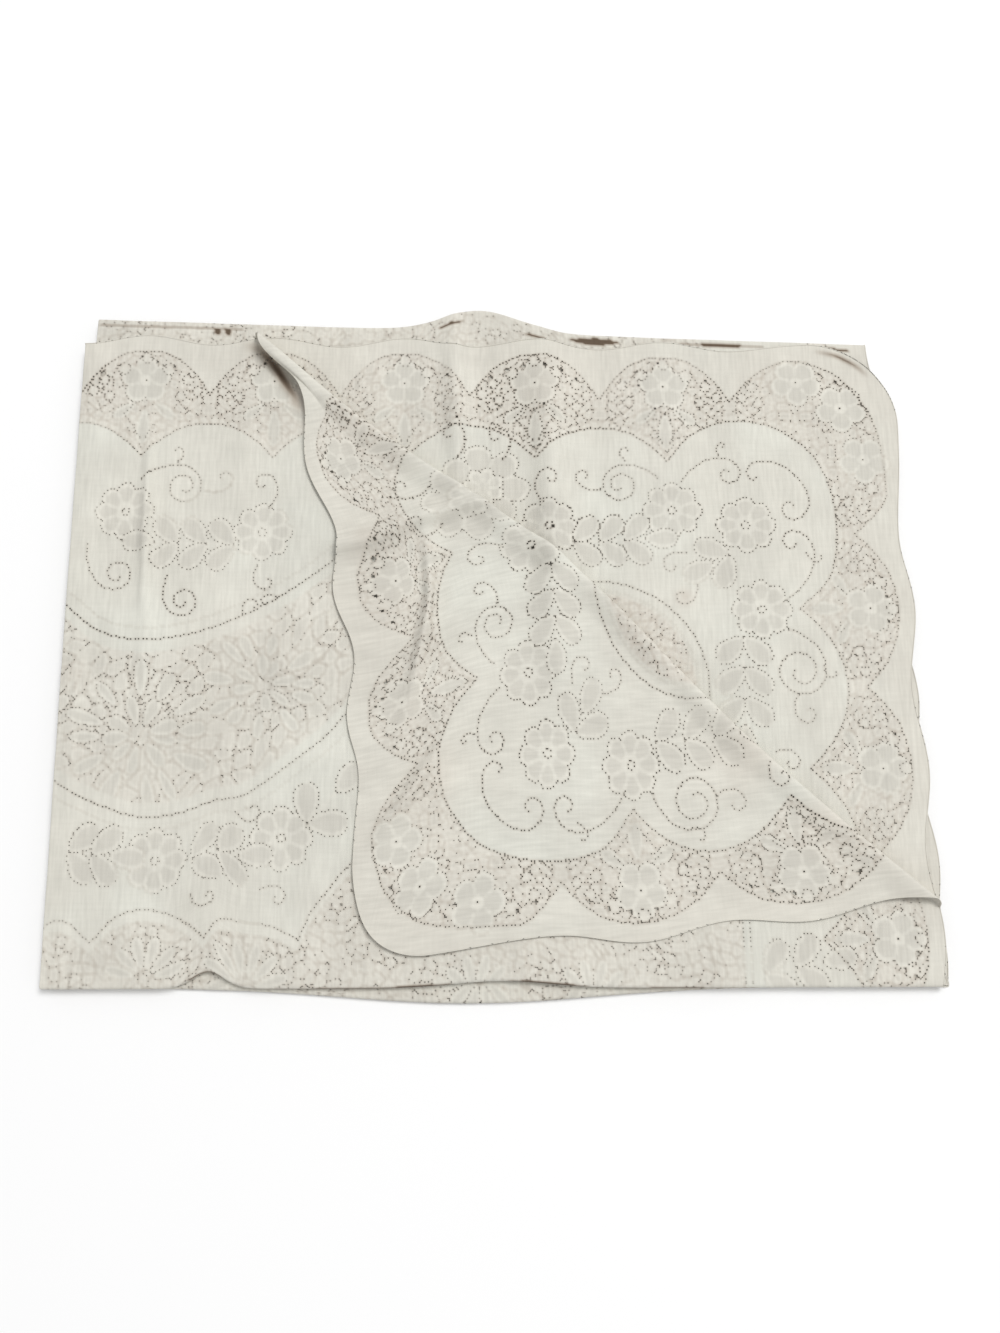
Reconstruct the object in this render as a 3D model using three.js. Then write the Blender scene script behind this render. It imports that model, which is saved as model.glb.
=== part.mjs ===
// A lace tablecloth, doubled across its width, folded in four along its length and laid flat.
// The uppermost layer has its far right corner turned back over the stack.
// The cloth is drawn flat, with its scalloped edge and the largest gaps of its lace border,
// and every point of it is then carried to its place in the folds. X is right, Y is away, Z is up.
import * as THREE from "three";

// The sheet
const HALF_WIDTH = 775;
const SHEET = 1.0;
const LAYER_PITCH = 2.0;
const CORNER_RADIUS = 80;

// The scalloped edge: one scallop for each fan of the lace border, and a wide full one at each corner
const SCALLOP_DEPTH = 4.5;
const FIRST_FAN = { across: 93, along: 122 };
const FANS_ACROSS = 5.5;
const FANS_ALONG = 7.5;
const POINTS_PER_SCALLOP = 5;

// Places of the edges of the folded stack, left and right, and its reach away and near
const LEFT_FOLD = -385;
const RIGHT_HEM = LEFT_FOLD + HALF_WIDTH;
const STACK_REACH = 300;

// The runs of the long way, from the uppermost to the lowest, as places of their ends along Y
const FOLDED_RUNS = [
  { from: 302, to: -297 },
  { from: -297, to: 322 },
  { from: 322, to: -303 },
  { from: -303, to: 284 },
];

// The crease of the turned-back corner: where it meets the far hem and the right hem, and how far
// it bows towards the corner at a place along it
const TURN_BACK = { fromLeft: 166, fromHem: 534 };
const TURN_BOW = { at: 365, spread: 165, reach: 23 };

// Gaps in each fan of the lace: place along the hem, depth from it, half diagonal of the gap.
// A fan has each gap on both sides of its middle, and the small fan in a corner has one in its middle.
const FAN_GAPS = [
  { along: 10, depth: 24, reach: 3.0 },
  { along: 26, depth: 28, reach: 3.0 },
  { along: 41, depth: 36, reach: 3.0 },
];
const CORNER_GAP = { arc: 0, depth: 22, reach: 3.0 };

// Soft rises of the whole stack, and of the turned-back corner alone
const STACK_RISES = [
  { x: -5, y: 300, spreadX: 115, spreadY: 130, height: 4 },
  { x: 30, y: -290, spreadX: 170, spreadY: 120, height: 3 },
  { x: -320, y: 40, spreadX: 120, spreadY: 190, height: 2 },
  { x: 280, y: 90, spreadX: 150, spreadY: 150, height: 2.5 },
];
const CORNER_LIFTS = [
  { x: -205, y: 275, spreadX: 60, spreadY: 70, height: 11 },
  { x: -145, y: 70, spreadX: 90, spreadY: 120, height: 2 },
  { x: -70, y: -250, spreadX: 90, spreadY: 80, height: 3 },
  { x: 375, y: -238, spreadX: 80, spreadY: 60, height: 5 },
];

// How the turned-back corner has slipped in its own plane, growing with distance from the crease
const CORNER_SLIPS = [
  { x: -185, y: 165, spreadX: 95, spreadY: 135, shiftX: 32, shiftY: 0 },
  { x: -115, y: 80, spreadX: 70, spreadY: 75, shiftX: 22, shiftY: 0 },
  { x: -125, y: -20, spreadX: 75, spreadY: 75, shiftX: 15, shiftY: 0 },
  { x: -125, y: -60, spreadX: 100, spreadY: 170, shiftX: 0, shiftY: -18 },
  { x: -190, y: 235, spreadX: 60, spreadY: 60, shiftX: 14, shiftY: 0 },
  { x: -75, y: -265, spreadX: 70, spreadY: 55, shiftX: -15, shiftY: 0 },
];
const SLIP_GROWTH = 130;

// Unevenness of the folds along the far and near edges, as shifts in Y at a place along X
const FAR_FOLD = { shiftLeft: 7, shiftRight: -21, bumps: [{ x: 1, spread: 52, shift: 22 }] };
const FAR_HEM = { shiftLeft: 3, shiftRight: -7, bumps: [] };
const NEAR_FOLD = {
  shiftLeft: -2,
  shiftRight: 0,
  bumps: [{ x: -234, spread: 24, shift: 12 }, { x: 10, spread: 60, shift: 6 }],
};
const NEAR_LOW_FOLD = {
  shiftLeft: 4,
  shiftRight: 6,
  bumps: [{ x: -20, spread: 150, shift: -13 }],
};

// Sideways shifts: the left fold leans, and the lower layers lie askew under the top pair
const LEFT_LEAN = { far: -4, near: 10 };
const LOWER_SKEW = { leftFar: 9, rightFar: -15, leftNear: 0, rightNear: 6 };

// Fineness of the folds, of the panels that don't show, and of the strip along the hems.
// Two tile lines across lie at bumps of the folds, and the gaps stay clear of folds and crease.
const TURN_STEPS = 4;
const CREASE_STEPS = 3;
const PLAIN_TILE = 104;
const HEM_STRIP = 51.5;
const LINES_AT_BUMPS = [153, 384];
const CLEAR_OF_FOLD = 25;
const CLEAR_OF_CREASE = 15;

const IVORY = 0xe6dfd2;

// Sizes that follow from the ones above
const HAIRPIN = LAYER_PITCH / 2;
const HAIRPIN_HALF = (Math.PI * HAIRPIN) / 2;
const TURN = LAYER_PITCH;
const TURN_LENGTH = Math.PI * TURN;
const RUN_PITCH = 2 * LAYER_PITCH;
const CORNER_HALF_ARC = (Math.PI * CORNER_RADIUS) / 4;
const FIRST_ARC = {
  across: CORNER_HALF_ARC + FIRST_FAN.across - CORNER_RADIUS,
  along: CORNER_HALF_ARC + FIRST_FAN.along - CORNER_RADIUS,
};

const layerHeight = (layer) => SHEET / 2 + layer * LAYER_PITCH;
const LAYER = { bottomRun: 1, thirdRun: 3, secondRun: 5, uppermost: 7 };
const STACK_TOP = layerHeight(LAYER.uppermost) + SHEET / 2;

const clamp01 = (t) => Math.min(Math.max(t, 0), 1);
const ease = (t) => clamp01(t) ** 2 * (3 - 2 * clamp01(t));
const between = (value, low, high) => clamp01((value - low) / (high - low));
const hump = (distance, spread) => Math.exp(-((distance / spread) ** 2));

// From 0 at a layer's upper face to 1 at the next layer's lower face
const pastLayer = (z, layer) =>
  between(z, layerHeight(layer) + SHEET / 2, layerHeight(layer + 1) - SHEET / 2);

// The long way of the cloth: straight runs joined by turns, from the uppermost hem to the lowest
function makeStretches() {
  const stretches = [];
  let start = 0;
  FOLDED_RUNS.forEach((run, index) => {
    const heading = Math.sign(run.to - run.from);
    const height = layerHeight(0) + LAYER_PITCH / 2 + (FOLDED_RUNS.length - 1 - index) * RUN_PITCH;
    const first = index === 0 ? run.from : run.from + heading * TURN;
    const last = index === FOLDED_RUNS.length - 1 ? run.to : run.to - heading * TURN;
    const length = Math.abs(last - first);
    stretches.push({ kind: "run", start, length, y: first, heading, height });
    start += length;
    if (index < FOLDED_RUNS.length - 1) {
      stretches.push({ kind: "turn", start, length: TURN_LENGTH, y: last, heading, height });
      start += TURN_LENGTH;
    }
  });
  return stretches;
}

const STRETCHES = makeStretches();
const FLAT_LENGTH = STRETCHES.at(-1).start + STRETCHES.at(-1).length;
const PITCH_ACROSS = (HALF_WIDTH - FIRST_FAN.across) / FANS_ACROSS;
const PITCH_ALONG = (FLAT_LENGTH / 2 - FIRST_FAN.along) / FANS_ALONG;

// Distance beyond the crease where the corner turns back, positive on the corner's side
const CREASE_WAY = new THREE.Vector2(HALF_WIDTH - TURN_BACK.fromLeft, TURN_BACK.fromHem).normalize();
const CREASE_NORMAL = new THREE.Vector2(CREASE_WAY.y, -CREASE_WAY.x);

function beyondTurn({ x, y }) {
  const fromStart = new THREE.Vector2(x - TURN_BACK.fromLeft, y);
  const bow = TURN_BOW.reach * hump(fromStart.dot(CREASE_WAY) - TURN_BOW.at, TURN_BOW.spread);
  return fromStart.dot(CREASE_NORMAL) - bow;
}

// A point of the edge's rounded rectangle, counted from the middle of a corner.
// Positive arcs run along the end hem and negative ones along the side hem; depth is inwards.
// The answer is the distance from the side hem and from the end hem.
function nearCorner(arc, depth) {
  const past = Math.abs(arc) - CORNER_HALF_ARC;
  if (past > 0) {
    const along = CORNER_RADIUS + past;
    return arc > 0 ? { fromSide: along, fromEnd: depth } : { fromSide: depth, fromEnd: along };
  }
  const angle = Math.PI / 4 + arc / CORNER_RADIUS;
  const radius = CORNER_RADIUS - depth;
  return {
    fromSide: CORNER_RADIUS - radius * Math.cos(angle),
    fromEnd: CORNER_RADIUS - radius * Math.sin(angle),
  };
}

function scallopAt(arc) {
  const distance = Math.abs(arc);
  const pitch = arc > 0 ? PITCH_ACROSS : PITCH_ALONG;
  const first = arc > 0 ? FIRST_ARC.across : FIRST_ARC.along;
  const cornerEnd = first + pitch / 2;
  const turns = distance < cornerEnd ? (distance / cornerEnd) ** 2 / 2 : (distance - first) / pitch;
  return SCALLOP_DEPTH * Math.cos(2 * Math.PI * turns);
}

// One quarter of the edge, from the middle of an end hem round the corner to the middle of a side hem
function quarterEdge() {
  const endArc = CORNER_HALF_ARC + HALF_WIDTH - CORNER_RADIUS;
  const sideArc = CORNER_HALF_ARC + FLAT_LENGTH / 2 - CORNER_RADIUS;
  const steps = Math.round(((endArc + sideArc) / PITCH_ACROSS) * POINTS_PER_SCALLOP);
  return Array.from({ length: steps + 1 }, (_, step) => {
    const arc = endArc - ((endArc + sideArc) * step) / steps;
    return nearCorner(arc, -scallopAt(arc));
  });
}

// The whole flat edge, mirrored from the quarter, as points across and along the cloth
function flatOutline() {
  const quarter = quarterEdge();
  const back = [...quarter].reverse();
  const right = ({ fromSide }) => HALF_WIDTH - fromSide;
  const left = (point) => -right(point);
  const near = ({ fromEnd }) => fromEnd;
  const far = ({ fromEnd }) => FLAT_LENGTH - fromEnd;
  const corners = [
    { points: quarter, u: right, v: near },
    { points: back, u: right, v: far },
    { points: quarter, u: left, v: far },
    { points: back, u: left, v: near },
  ];
  return corners.flatMap(({ points, u, v }) =>
    points.slice(0, -1).map((point) => new THREE.Vector2(u(point), v(point))));
}

// The gaps of the fans on the uppermost run, in both of its layers
function fanGaps() {
  const gaps = [];
  const runEnd = STRETCHES[0].length - CLEAR_OF_FOLD;
  const fansAcross = Array.from({ length: Math.ceil(FANS_ACROSS) }, (_, fan) =>
    FIRST_ARC.across + fan * PITCH_ACROSS);
  const fansAlong = Array.from({ length: Math.floor(FANS_ALONG) }, (_, fan) =>
    -(FIRST_ARC.along + fan * PITCH_ALONG));
  const inFans = [...fansAcross, ...fansAlong].flatMap((fan) =>
    FAN_GAPS.flatMap((gap) => [
      { ...gap, arc: fan - gap.along },
      { ...gap, arc: fan + gap.along },
    ]));
  for (const { arc, depth, reach } of [CORNER_GAP, ...inFans]) {
    const { fromSide, fromEnd } = nearCorner(arc, depth);
    const place = { x: HALF_WIDTH - fromSide, y: fromEnd };
    if (fromEnd < runEnd) {
      gaps.push({ u: -place.x, v: place.y, reach });
    }
    if (fromEnd < runEnd && Math.abs(beyondTurn(place)) > CLEAR_OF_CREASE) {
      gaps.push({ u: place.x, v: place.y, reach });
    }
  }
  return gaps;
}

const gapLoop = ({ u, v, reach }) => [
  new THREE.Vector2(u - reach, v),
  new THREE.Vector2(u, v - reach),
  new THREE.Vector2(u + reach, v),
  new THREE.Vector2(u, v + reach),
];

// Tile lines across the cloth: half a fan apart, with close lines round the fold at the left
function linesAcross() {
  const half = Array.from({ length: 2 * Math.ceil(FANS_ACROSS) }, (_, step) =>
    HALF_WIDTH - FIRST_FAN.across - (step * PITCH_ACROSS) / 2);
  const fold = Array.from({ length: TURN_STEPS + 1 }, (_, step) =>
    ((2 * step) / TURN_STEPS - 1) * HAIRPIN_HALF);
  const edge = HALF_WIDTH + 2 * SCALLOP_DEPTH;
  const shown = [...half.filter((u) => u > CLEAR_OF_FOLD), ...LINES_AT_BUMPS];
  const lines = [edge, HALF_WIDTH - HEM_STRIP, ...shown.sort((a, b) => b - a)];
  return [...lines.map((u) => -u), ...[...fold].reverse().map((u) => -u), ...[...lines].reverse()];
}

// Tile lines along the cloth: a quarter of a fan apart on the uppermost run, wider on the hidden ones
function linesAlong() {
  const lines = [-2 * SCALLOP_DEPTH, HEM_STRIP];
  STRETCHES.forEach((stretch, index) => {
    const { kind, start, length } = stretch;
    const last = index === STRETCHES.length - 1;
    if (kind === "turn") {
      for (let step = 0; step <= TURN_STEPS; step += 1) {
        lines.push(start + (length * step) / TURN_STEPS);
      }
      return;
    }
    const tile = index === 0 ? PITCH_ALONG / 4 : PLAIN_TILE;
    const first = index === 0 ? FIRST_FAN.along : start + tile;
    const clear = last ? tile / 2 : CLEAR_OF_FOLD;
    for (let v = first; v < start + length - clear; v += tile) {
      lines.push(v);
    }
  });
  return [...lines, FLAT_LENGTH + 2 * SCALLOP_DEPTH];
}

// The part of a polygon on the low or high side of a line of constant u ("x") or v ("y")
function clipSide(points, axis, line, keepHigh) {
  const inside = (point) => (keepHigh ? point[axis] >= line : point[axis] <= line);
  return points.flatMap((point, index) => {
    const next = points[(index + 1) % points.length];
    const kept = inside(point) ? [point] : [];
    if (inside(point) !== inside(next)) {
      const share = (line - point[axis]) / (next[axis] - point[axis]);
      const crossing = point.clone().lerp(next, share);
      crossing[axis] = line;
      kept.push(crossing);
    }
    return kept;
  });
}

// Where the height changes sign between two points, found by halving
function crossingPoint(from, to, height) {
  const halvings = 40;
  const low = height(from) < 0 ? from.clone() : to.clone();
  const high = height(from) < 0 ? to.clone() : from.clone();
  for (let step = 0; step < halvings; step += 1) {
    const middle = low.clone().lerp(high, 0.5);
    (height(middle) < 0 ? low : high).copy(middle);
  }
  return low;
}

// Points are shared between tiles through a table keyed by their rounded place
class FlatMesh {
  constructor() {
    this.points = [];
    this.triangles = [];
    this.table = new Map();
  }

  add(point) {
    const key = `${point.x.toFixed(5)},${point.y.toFixed(5)}`;
    if (!this.table.has(key)) {
      this.table.set(key, this.points.length);
      this.points.push(point);
    }
    return this.table.get(key);
  }

  addFace(corners) {
    const face = corners.map((corner) => this.add(corner));
    const distinct = new Set(face).size === 3;
    if (distinct) {
      this.triangles.push(face);
    }
  }

  // Cuts every triangle that a line crosses; height is the signed distance from the line
  cutAlong(height) {
    const tolerance = 1e-4;
    const before = this.triangles;
    this.triangles = [];
    for (const face of before) {
      const corners = face.map((index) => this.points[index]);
      const heights = corners.map(height);
      if (Math.max(...heights) < tolerance || Math.min(...heights) > -tolerance) {
        this.triangles.push(face);
        continue;
      }
      const parts = { above: [], below: [] };
      corners.forEach((corner, index) => {
        const other = (index + 1) % 3;
        if (heights[index] > -tolerance) {
          parts.above.push(corner);
        }
        if (heights[index] < tolerance) {
          parts.below.push(corner);
        }
        const apart = Math.abs(heights[index]) > tolerance && Math.abs(heights[other]) > tolerance;
        if (apart && heights[index] * heights[other] < 0) {
          const crossing = crossingPoint(corner, corners[other], height);
          parts.above.push(crossing);
          parts.below.push(crossing);
        }
      });
      for (const part of [parts.above, parts.below]) {
        for (let corner = 2; corner < part.length; corner += 1) {
          this.addFace([part[0], part[corner - 1], part[corner]]);
        }
      }
    }
  }

  // Edges that belong to one triangle only: the hem and the rims of the gaps
  rim() {
    const edges = new Map();
    for (const [a, b, c] of this.triangles) {
      for (const [from, to] of [[a, b], [b, c], [c, a]]) {
        if (!edges.delete(`${to},${from}`)) {
          edges.set(`${from},${to}`, [from, to]);
        }
      }
    }
    return [...edges.values()];
  }
}

function flatCloth() {
  const mesh = new FlatMesh();
  const outline = flatOutline();
  const gaps = fanGaps();
  const across = linesAcross();
  const along = linesAlong();
  for (let row = 1; row < along.length; row += 1) {
    const lower = clipSide(outline, "y", along[row - 1], true);
    const strip = clipSide(lower, "y", along[row], false);
    for (let column = 1; column < across.length; column += 1) {
      const high = clipSide(strip, "x", across[column - 1], true);
      const tile = clipSide(high, "x", across[column], false);
      const holes = gaps
        .filter(({ u, v }) => u > across[column - 1] && u < across[column]
          && v > along[row - 1] && v < along[row])
        .map(gapLoop);
      addTile(mesh, tile, holes);
    }
  }
  for (let step = 0; step <= CREASE_STEPS; step += 1) {
    const offset = (Math.PI * HAIRPIN * step) / CREASE_STEPS;
    mesh.cutAlong((point) => beyondTurn(point) - offset);
  }
  return mesh;
}

function addTile(mesh, outline, holes) {
  const apart = 1e-4;
  const border = outline.filter((point, index) =>
    point.distanceTo(outline[(index + 1) % outline.length]) > apart);
  if (border.length < 3) {
    return;
  }
  if (THREE.ShapeUtils.isClockWise(border)) {
    border.reverse();
  }
  const corners = [...border, ...holes.flat()];
  for (const face of THREE.ShapeUtils.triangulateShape(border, holes)) {
    mesh.addFace(face.map((index) => corners[index]));
  }
}

// The place of a flat point in the even stack, and the direction of the cloth's outer face there
function alongRuns(v) {
  const stretch = STRETCHES.findLast(({ start }) => v >= start) ?? STRETCHES[0];
  const { kind, start, y, heading, height } = stretch;
  if (kind === "run") {
    return { y: y + heading * (v - start), height, facingY: 0, facingUp: -heading };
  }
  const angle = (v - start) / TURN;
  return {
    y: y + heading * TURN * Math.sin(angle),
    height: height - TURN * (1 - Math.cos(angle)),
    facingY: -Math.sin(angle),
    facingUp: -heading * Math.cos(angle),
  };
}

function acrossFold(u) {
  const angle = Math.max(Math.min(u / HAIRPIN, Math.PI / 2), -Math.PI / 2);
  const beyond = Math.max(Math.abs(u) - HAIRPIN_HALF, 0);
  return {
    x: LEFT_FOLD + HAIRPIN * (1 - Math.cos(angle)) + beyond,
    offset: HAIRPIN * Math.sin(angle),
    facingX: -Math.cos(angle),
    facingOut: Math.sin(angle),
  };
}

function inEvenStack(point, outward) {
  const width = acrossFold(point.x);
  const length = alongRuns(point.y);
  const place = new THREE.Vector3(
    width.x,
    length.y + width.offset * length.facingY,
    length.height + width.offset * length.facingUp,
  );
  const facing = new THREE.Vector3(
    width.facingX,
    width.facingOut * length.facingY,
    width.facingOut * length.facingUp,
  );
  const beyond = beyondTurn(point);
  const onTopRun = point.x > 0 && point.y < STRETCHES[0].length;
  if (beyond > 0 && onTopRun) {
    const angle = Math.min(beyond / HAIRPIN, Math.PI);
    const straight = Math.max(beyond - Math.PI * HAIRPIN, 0);
    const away = new THREE.Vector3(CREASE_NORMAL.x, -CREASE_NORMAL.y, 0);
    place.addScaledVector(away, HAIRPIN * Math.sin(angle) - straight - beyond);
    place.z += HAIRPIN * (1 - Math.cos(angle));
    facing.set(0, 0, Math.cos(angle)).addScaledVector(away, -Math.sin(angle));
  }
  return place.addScaledVector(facing, outward);
}

// How an edge's fold wanders: a straight slant from end to end, with local bumps
function wander({ shiftLeft, shiftRight, bumps }, x) {
  const slant = THREE.MathUtils.lerp(shiftLeft, shiftRight, between(x, LEFT_FOLD, RIGHT_HEM));
  return bumps.reduce((sum, bump) => sum + bump.shift * hump(x - bump.x, bump.spread), slant);
}

const riseAt = (rises, x, y) => rises.reduce((sum, rise) =>
  sum + rise.height * hump(x - rise.x, rise.spreadX) * hump(y - rise.y, rise.spreadY), 0);

// Carries a point of the even stack to the uneven one. Each layer shifts as a whole, and the
// underside stays flat.
function settle({ x, y, z }) {
  const lowerLayers = 1 - pastLayer(z, LAYER.secondRun);
  const nearTopFold = pastLayer(z, LAYER.thirdRun);
  const farFold = Math.min(pastLayer(z, LAYER.bottomRun), lowerLayers);
  const corner = pastLayer(z, LAYER.uppermost);
  const farShare = ease(y / STACK_REACH);
  const nearShare = ease(-y / STACK_REACH);
  const rightShare = between(x, LEFT_FOLD, RIGHT_HEM);
  const acrossDepth = between(y, -STACK_REACH, STACK_REACH);

  const far = THREE.MathUtils.lerp(wander(FAR_HEM, x), wander(FAR_FOLD, x), farFold);
  const near = THREE.MathUtils.lerp(wander(NEAR_LOW_FOLD, x), wander(NEAR_FOLD, x), nearTopFold);
  const lean = THREE.MathUtils.lerp(LEFT_LEAN.near, LEFT_LEAN.far, acrossDepth) * (1 - rightShare);
  const skewLeft = THREE.MathUtils.lerp(LOWER_SKEW.leftNear, LOWER_SKEW.leftFar, acrossDepth);
  const skewRight = THREE.MathUtils.lerp(LOWER_SKEW.rightNear, LOWER_SKEW.rightFar, acrossDepth);
  const skew = THREE.MathUtils.lerp(skewLeft, skewRight, rightShare) * lowerLayers;
  const fromCrease = -beyondTurn({ x: x - LEFT_FOLD, y: FOLDED_RUNS[0].from - y });
  const freedom = corner * ease(fromCrease / SLIP_GROWTH);
  const slip = new THREE.Vector2();
  for (const row of CORNER_SLIPS) {
    const share = freedom * hump(x - row.x, row.spreadX) * hump(y - row.y, row.spreadY);
    slip.x += row.shiftX * share;
    slip.y += row.shiftY * share;
  }

  const rise = riseAt(STACK_RISES, x, y) * between(z, SHEET, STACK_TOP);
  const lift = riseAt(CORNER_LIFTS, x, y) * corner;
  return new THREE.Vector3(
    x + lean + skew + slip.x,
    y + far * farShare + near * nearShare + slip.y,
    z + rise + lift,
  );
}

// The closed sheet: an outer face, an inner face and the rims between them
function clothGeometry() {
  const flat = flatCloth();
  const count = flat.points.length;
  const outer = flat.points.map((point) => settle(inEvenStack(point, SHEET / 2)));
  const inner = flat.points.map((point) => settle(inEvenStack(point, -SHEET / 2)));
  const faces = [];
  for (const [a, b, c] of flat.triangles) {
    faces.push(a, c, b);
    faces.push(a + count, b + count, c + count);
  }
  for (const [from, to] of flat.rim()) {
    faces.push(from, to, to + count);
    faces.push(from, to + count, from + count);
  }
  const geometry = new THREE.BufferGeometry().setFromPoints([...outer, ...inner]);
  geometry.setIndex(faces);
  return geometry;
}

// The cloth, with the origin under the middle of its box
function makeTablecloth() {
  const geometry = clothGeometry();
  geometry.computeBoundingBox();
  const middle = geometry.boundingBox.getCenter(new THREE.Vector3());
  geometry.translate(-middle.x, -middle.y, 0);
  geometry.computeVertexNormals();
  const material = new THREE.MeshStandardMaterial({ color: IVORY, roughness: 0.95, metalness: 0 });
  const cloth = new THREE.Mesh(geometry, material);
  cloth.name = "tablecloth";
  return cloth;
}

const part = new THREE.Group();
part.add(makeTablecloth());

export default part;
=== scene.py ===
from math import ceil, pi

import bpy
import numpy as np
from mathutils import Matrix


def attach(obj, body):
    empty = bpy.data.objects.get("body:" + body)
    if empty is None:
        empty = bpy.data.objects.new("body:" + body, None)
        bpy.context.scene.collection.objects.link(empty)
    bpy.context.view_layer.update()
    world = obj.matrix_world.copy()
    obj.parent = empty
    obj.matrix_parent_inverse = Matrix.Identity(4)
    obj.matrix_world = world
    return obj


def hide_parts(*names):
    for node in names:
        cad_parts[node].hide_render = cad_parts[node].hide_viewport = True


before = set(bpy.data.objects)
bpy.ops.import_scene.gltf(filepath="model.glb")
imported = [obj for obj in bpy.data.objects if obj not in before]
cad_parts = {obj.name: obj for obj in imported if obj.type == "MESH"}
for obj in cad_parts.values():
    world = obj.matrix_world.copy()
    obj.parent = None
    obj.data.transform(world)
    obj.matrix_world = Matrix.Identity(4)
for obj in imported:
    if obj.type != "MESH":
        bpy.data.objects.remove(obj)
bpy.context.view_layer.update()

MM = 0.001

# The sheet and its folds, as in the solid
HALF_WIDTH = 775.0
SHEET = 1.0
LAYER_PITCH = 2.0
LEFT_FOLD = -385.0
RIGHT_HEM = LEFT_FOLD + HALF_WIDTH
STACK_REACH = 300.0
RUN_ENDS = [(302, -297), (-297, 322), (322, -303), (-303, 284)]
TOP_LAYER = 2 * len(RUN_ENDS) - 1
HAIRPIN = LAYER_PITCH / 2
HAIRPIN_HALF = pi * HAIRPIN / 2
TURN = LAYER_PITCH
TURN_LENGTH = pi * TURN

# The solid's origin is under the middle of its box, which lies here in the stack's own coordinates
BOX_MIDDLE = (4.716, 13.038)

# The crease of the turned-back corner, its bow, and how softly it rolls over
TURN_BACK_LEFT = 166.0
TURN_BACK_HEM = 534.0
TURN_BOW = dict(at=365.0, spread=165.0, reach=23.0)
CREASE_ROLL = 3.9
CREASE_SOFTENS = 23.0

# Soft rises of the stack and of the turned-back corner: x, y, spread in x, spread in y, height
STACK_RISES = [
    (-5, 300, 115, 130, 4),
    (30, -290, 170, 120, 3),
    (-320, 40, 120, 190, 2),
    (280, 90, 150, 150, 2.5),
]
CORNER_LIFTS = [
    (-205, 275, 60, 70, 11),
    (-145, 70, 90, 120, 2),
    (-70, -250, 90, 80, 3),
    (375, -238, 80, 60, 5),
]
# Soft creases of the stack and of the turned-back corner: from x, y to x, y, width, height
STACK_CREASES = [
    (-317, 225, -312, 0, 6, 6.0),
    (-305, 225, -300, 10, 6, -1.2),
    (-29, 345, -23, 130, 12, 10.0),
    (60, 350, 64, -40, 16, 12.0),
    (18, 335, 24, 190, 14, -1.2),
    (-372, 120, -369, -250, 8, 2.2),
    (-228, -330, -245, -230, 13, 3.4),
    (160, 320, 150, 230, 16, 1.0),
    (270, 300, 300, 150, 18, 0.9),
]
CORNER_CREASES = [
    (-58, 125, -86, -70, 10, 10.0),
    (-28, -62, -100, -168, 8, 7.5),
    (60, -60, 210, -50, 14, 0.8),
    (-110, -190, 40, -230, 20, 1.6),
    (180, -150, 330, -210, 16, 1.4),
    (-170, 160, -60, 190, 10, 1.6),
    (-245, 82, 40, 144, 9, 11.0),
]
# The share of its half length over which a crease fades
CREASE_FADE = 0.55

# How the turned-back corner has slipped in its own plane: x, y, spread in x, in y, shift in x, in y
CORNER_SLIPS = [
    (-185, 165, 95, 135, 32, 0),
    (-115, 80, 70, 75, 22, 0),
    (-125, -20, 75, 75, 15, 0),
    (-125, -60, 100, 170, 0, -18),
    (-190, 235, 60, 60, 14, 0),
    (-75, -265, 70, 55, -15, 0),
]
SLIP_GROWTH = 130.0
# How its tip has slipped towards the crease
TIP_SLIP = dict(x=-205.0, y=252.0, spread_x=60.0, spread_y=50.0, shift=22.0, growth=27.0)

# How the folded edges wander: shift at the left, at the right, and bumps of place, spread and shift
FAR_FOLD = (7, -21, [(1, 52, 22)])
FAR_HEM = (3, -7, [])
NEAR_FOLD = (-2, 0, [(-241, 20, 14), (10, 60, 6)])
NEAR_LOW_FOLD = (4, 6, [(-20, 150, -13)])
LEFT_LEAN = dict(far=-4, near=10)
LOWER_SKEW = dict(left_far=9, right_far=-15, left_near=0, right_near=6)

# Painted shadows of slits along the folds, where the layers part, on cells kept closed: side of the middle
# line, turn, from x to x, distance before the turn and half width
SLIT_SHADOWS = [
    (-1, 1, -44, -14, 9, 2.0),
    (-1, 1, 88, 142, 5, 4.2),
    (-1, 1, 40, 74, 11, 1.5),
    (-1, 1, 198, 284, 4, 1.9),
    (-1, 1, 330, 372, 5, 2.6),
    (-1, 1, -267, -259, 7, 4.2),
    (-1, 1, -256, -249, 7, 4.2),
    (1, 0, 14, 88, -2.2, 1.7),
    (1, 0, -96, -30, -2.2, 1.3),
    (-1, 1, -384, -236, 4, 0.8),
    (1, 0, 84, 240, -2.6, 0.7),
    (1, 0, -262, -222, -2.4, 1.0),
    (1, 0, -216, -20, -2.6, 0.7),
]
SLIT_SHADE = 0.95

# The scalloped edge, with one scallop for each fan of the border
CORNER_RADIUS = 80.0
SCALLOP_DEPTH = 4.5
FIRST_FAN_END = 93.0
FIRST_FAN_SIDE = 122.0
FANS_ACROSS = 5.5
FANS_ALONG = 7.5

# The slight unevenness of the woven cloth, as waves both ways that bend, and its shift on the corner
WIDE_PUCKER = dict(height=0.45, lengths=(21, 26), bends=(1.7, 1.3), over=(33, 41))
CLOSE_PUCKER = dict(height=0.16, lengths=(8.3, 9.1), bends=(2.1, 1.9), over=(17, 15))
PUCKER_SHIFT = 90.0

# Fineness: the mesh of the lace, the reach of the cell at a point, its lines in the left fold and in a turn,
# points round a circle and along an arc, the tiles where nothing shows, and the cord in the hem
CELL = 1.5
AT_POINT = CELL / 2 + 0.01
FOLD_LINES = 4
TURN_LINES = 9
CIRCLE_STEPS = 160
ARC_STEPS = 24
TILE = 7
HEM_CORD = 0.5
CORD_SIDES = 6


def clamp(value):
    return np.clip(value, 0.0, 1.0)


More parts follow.
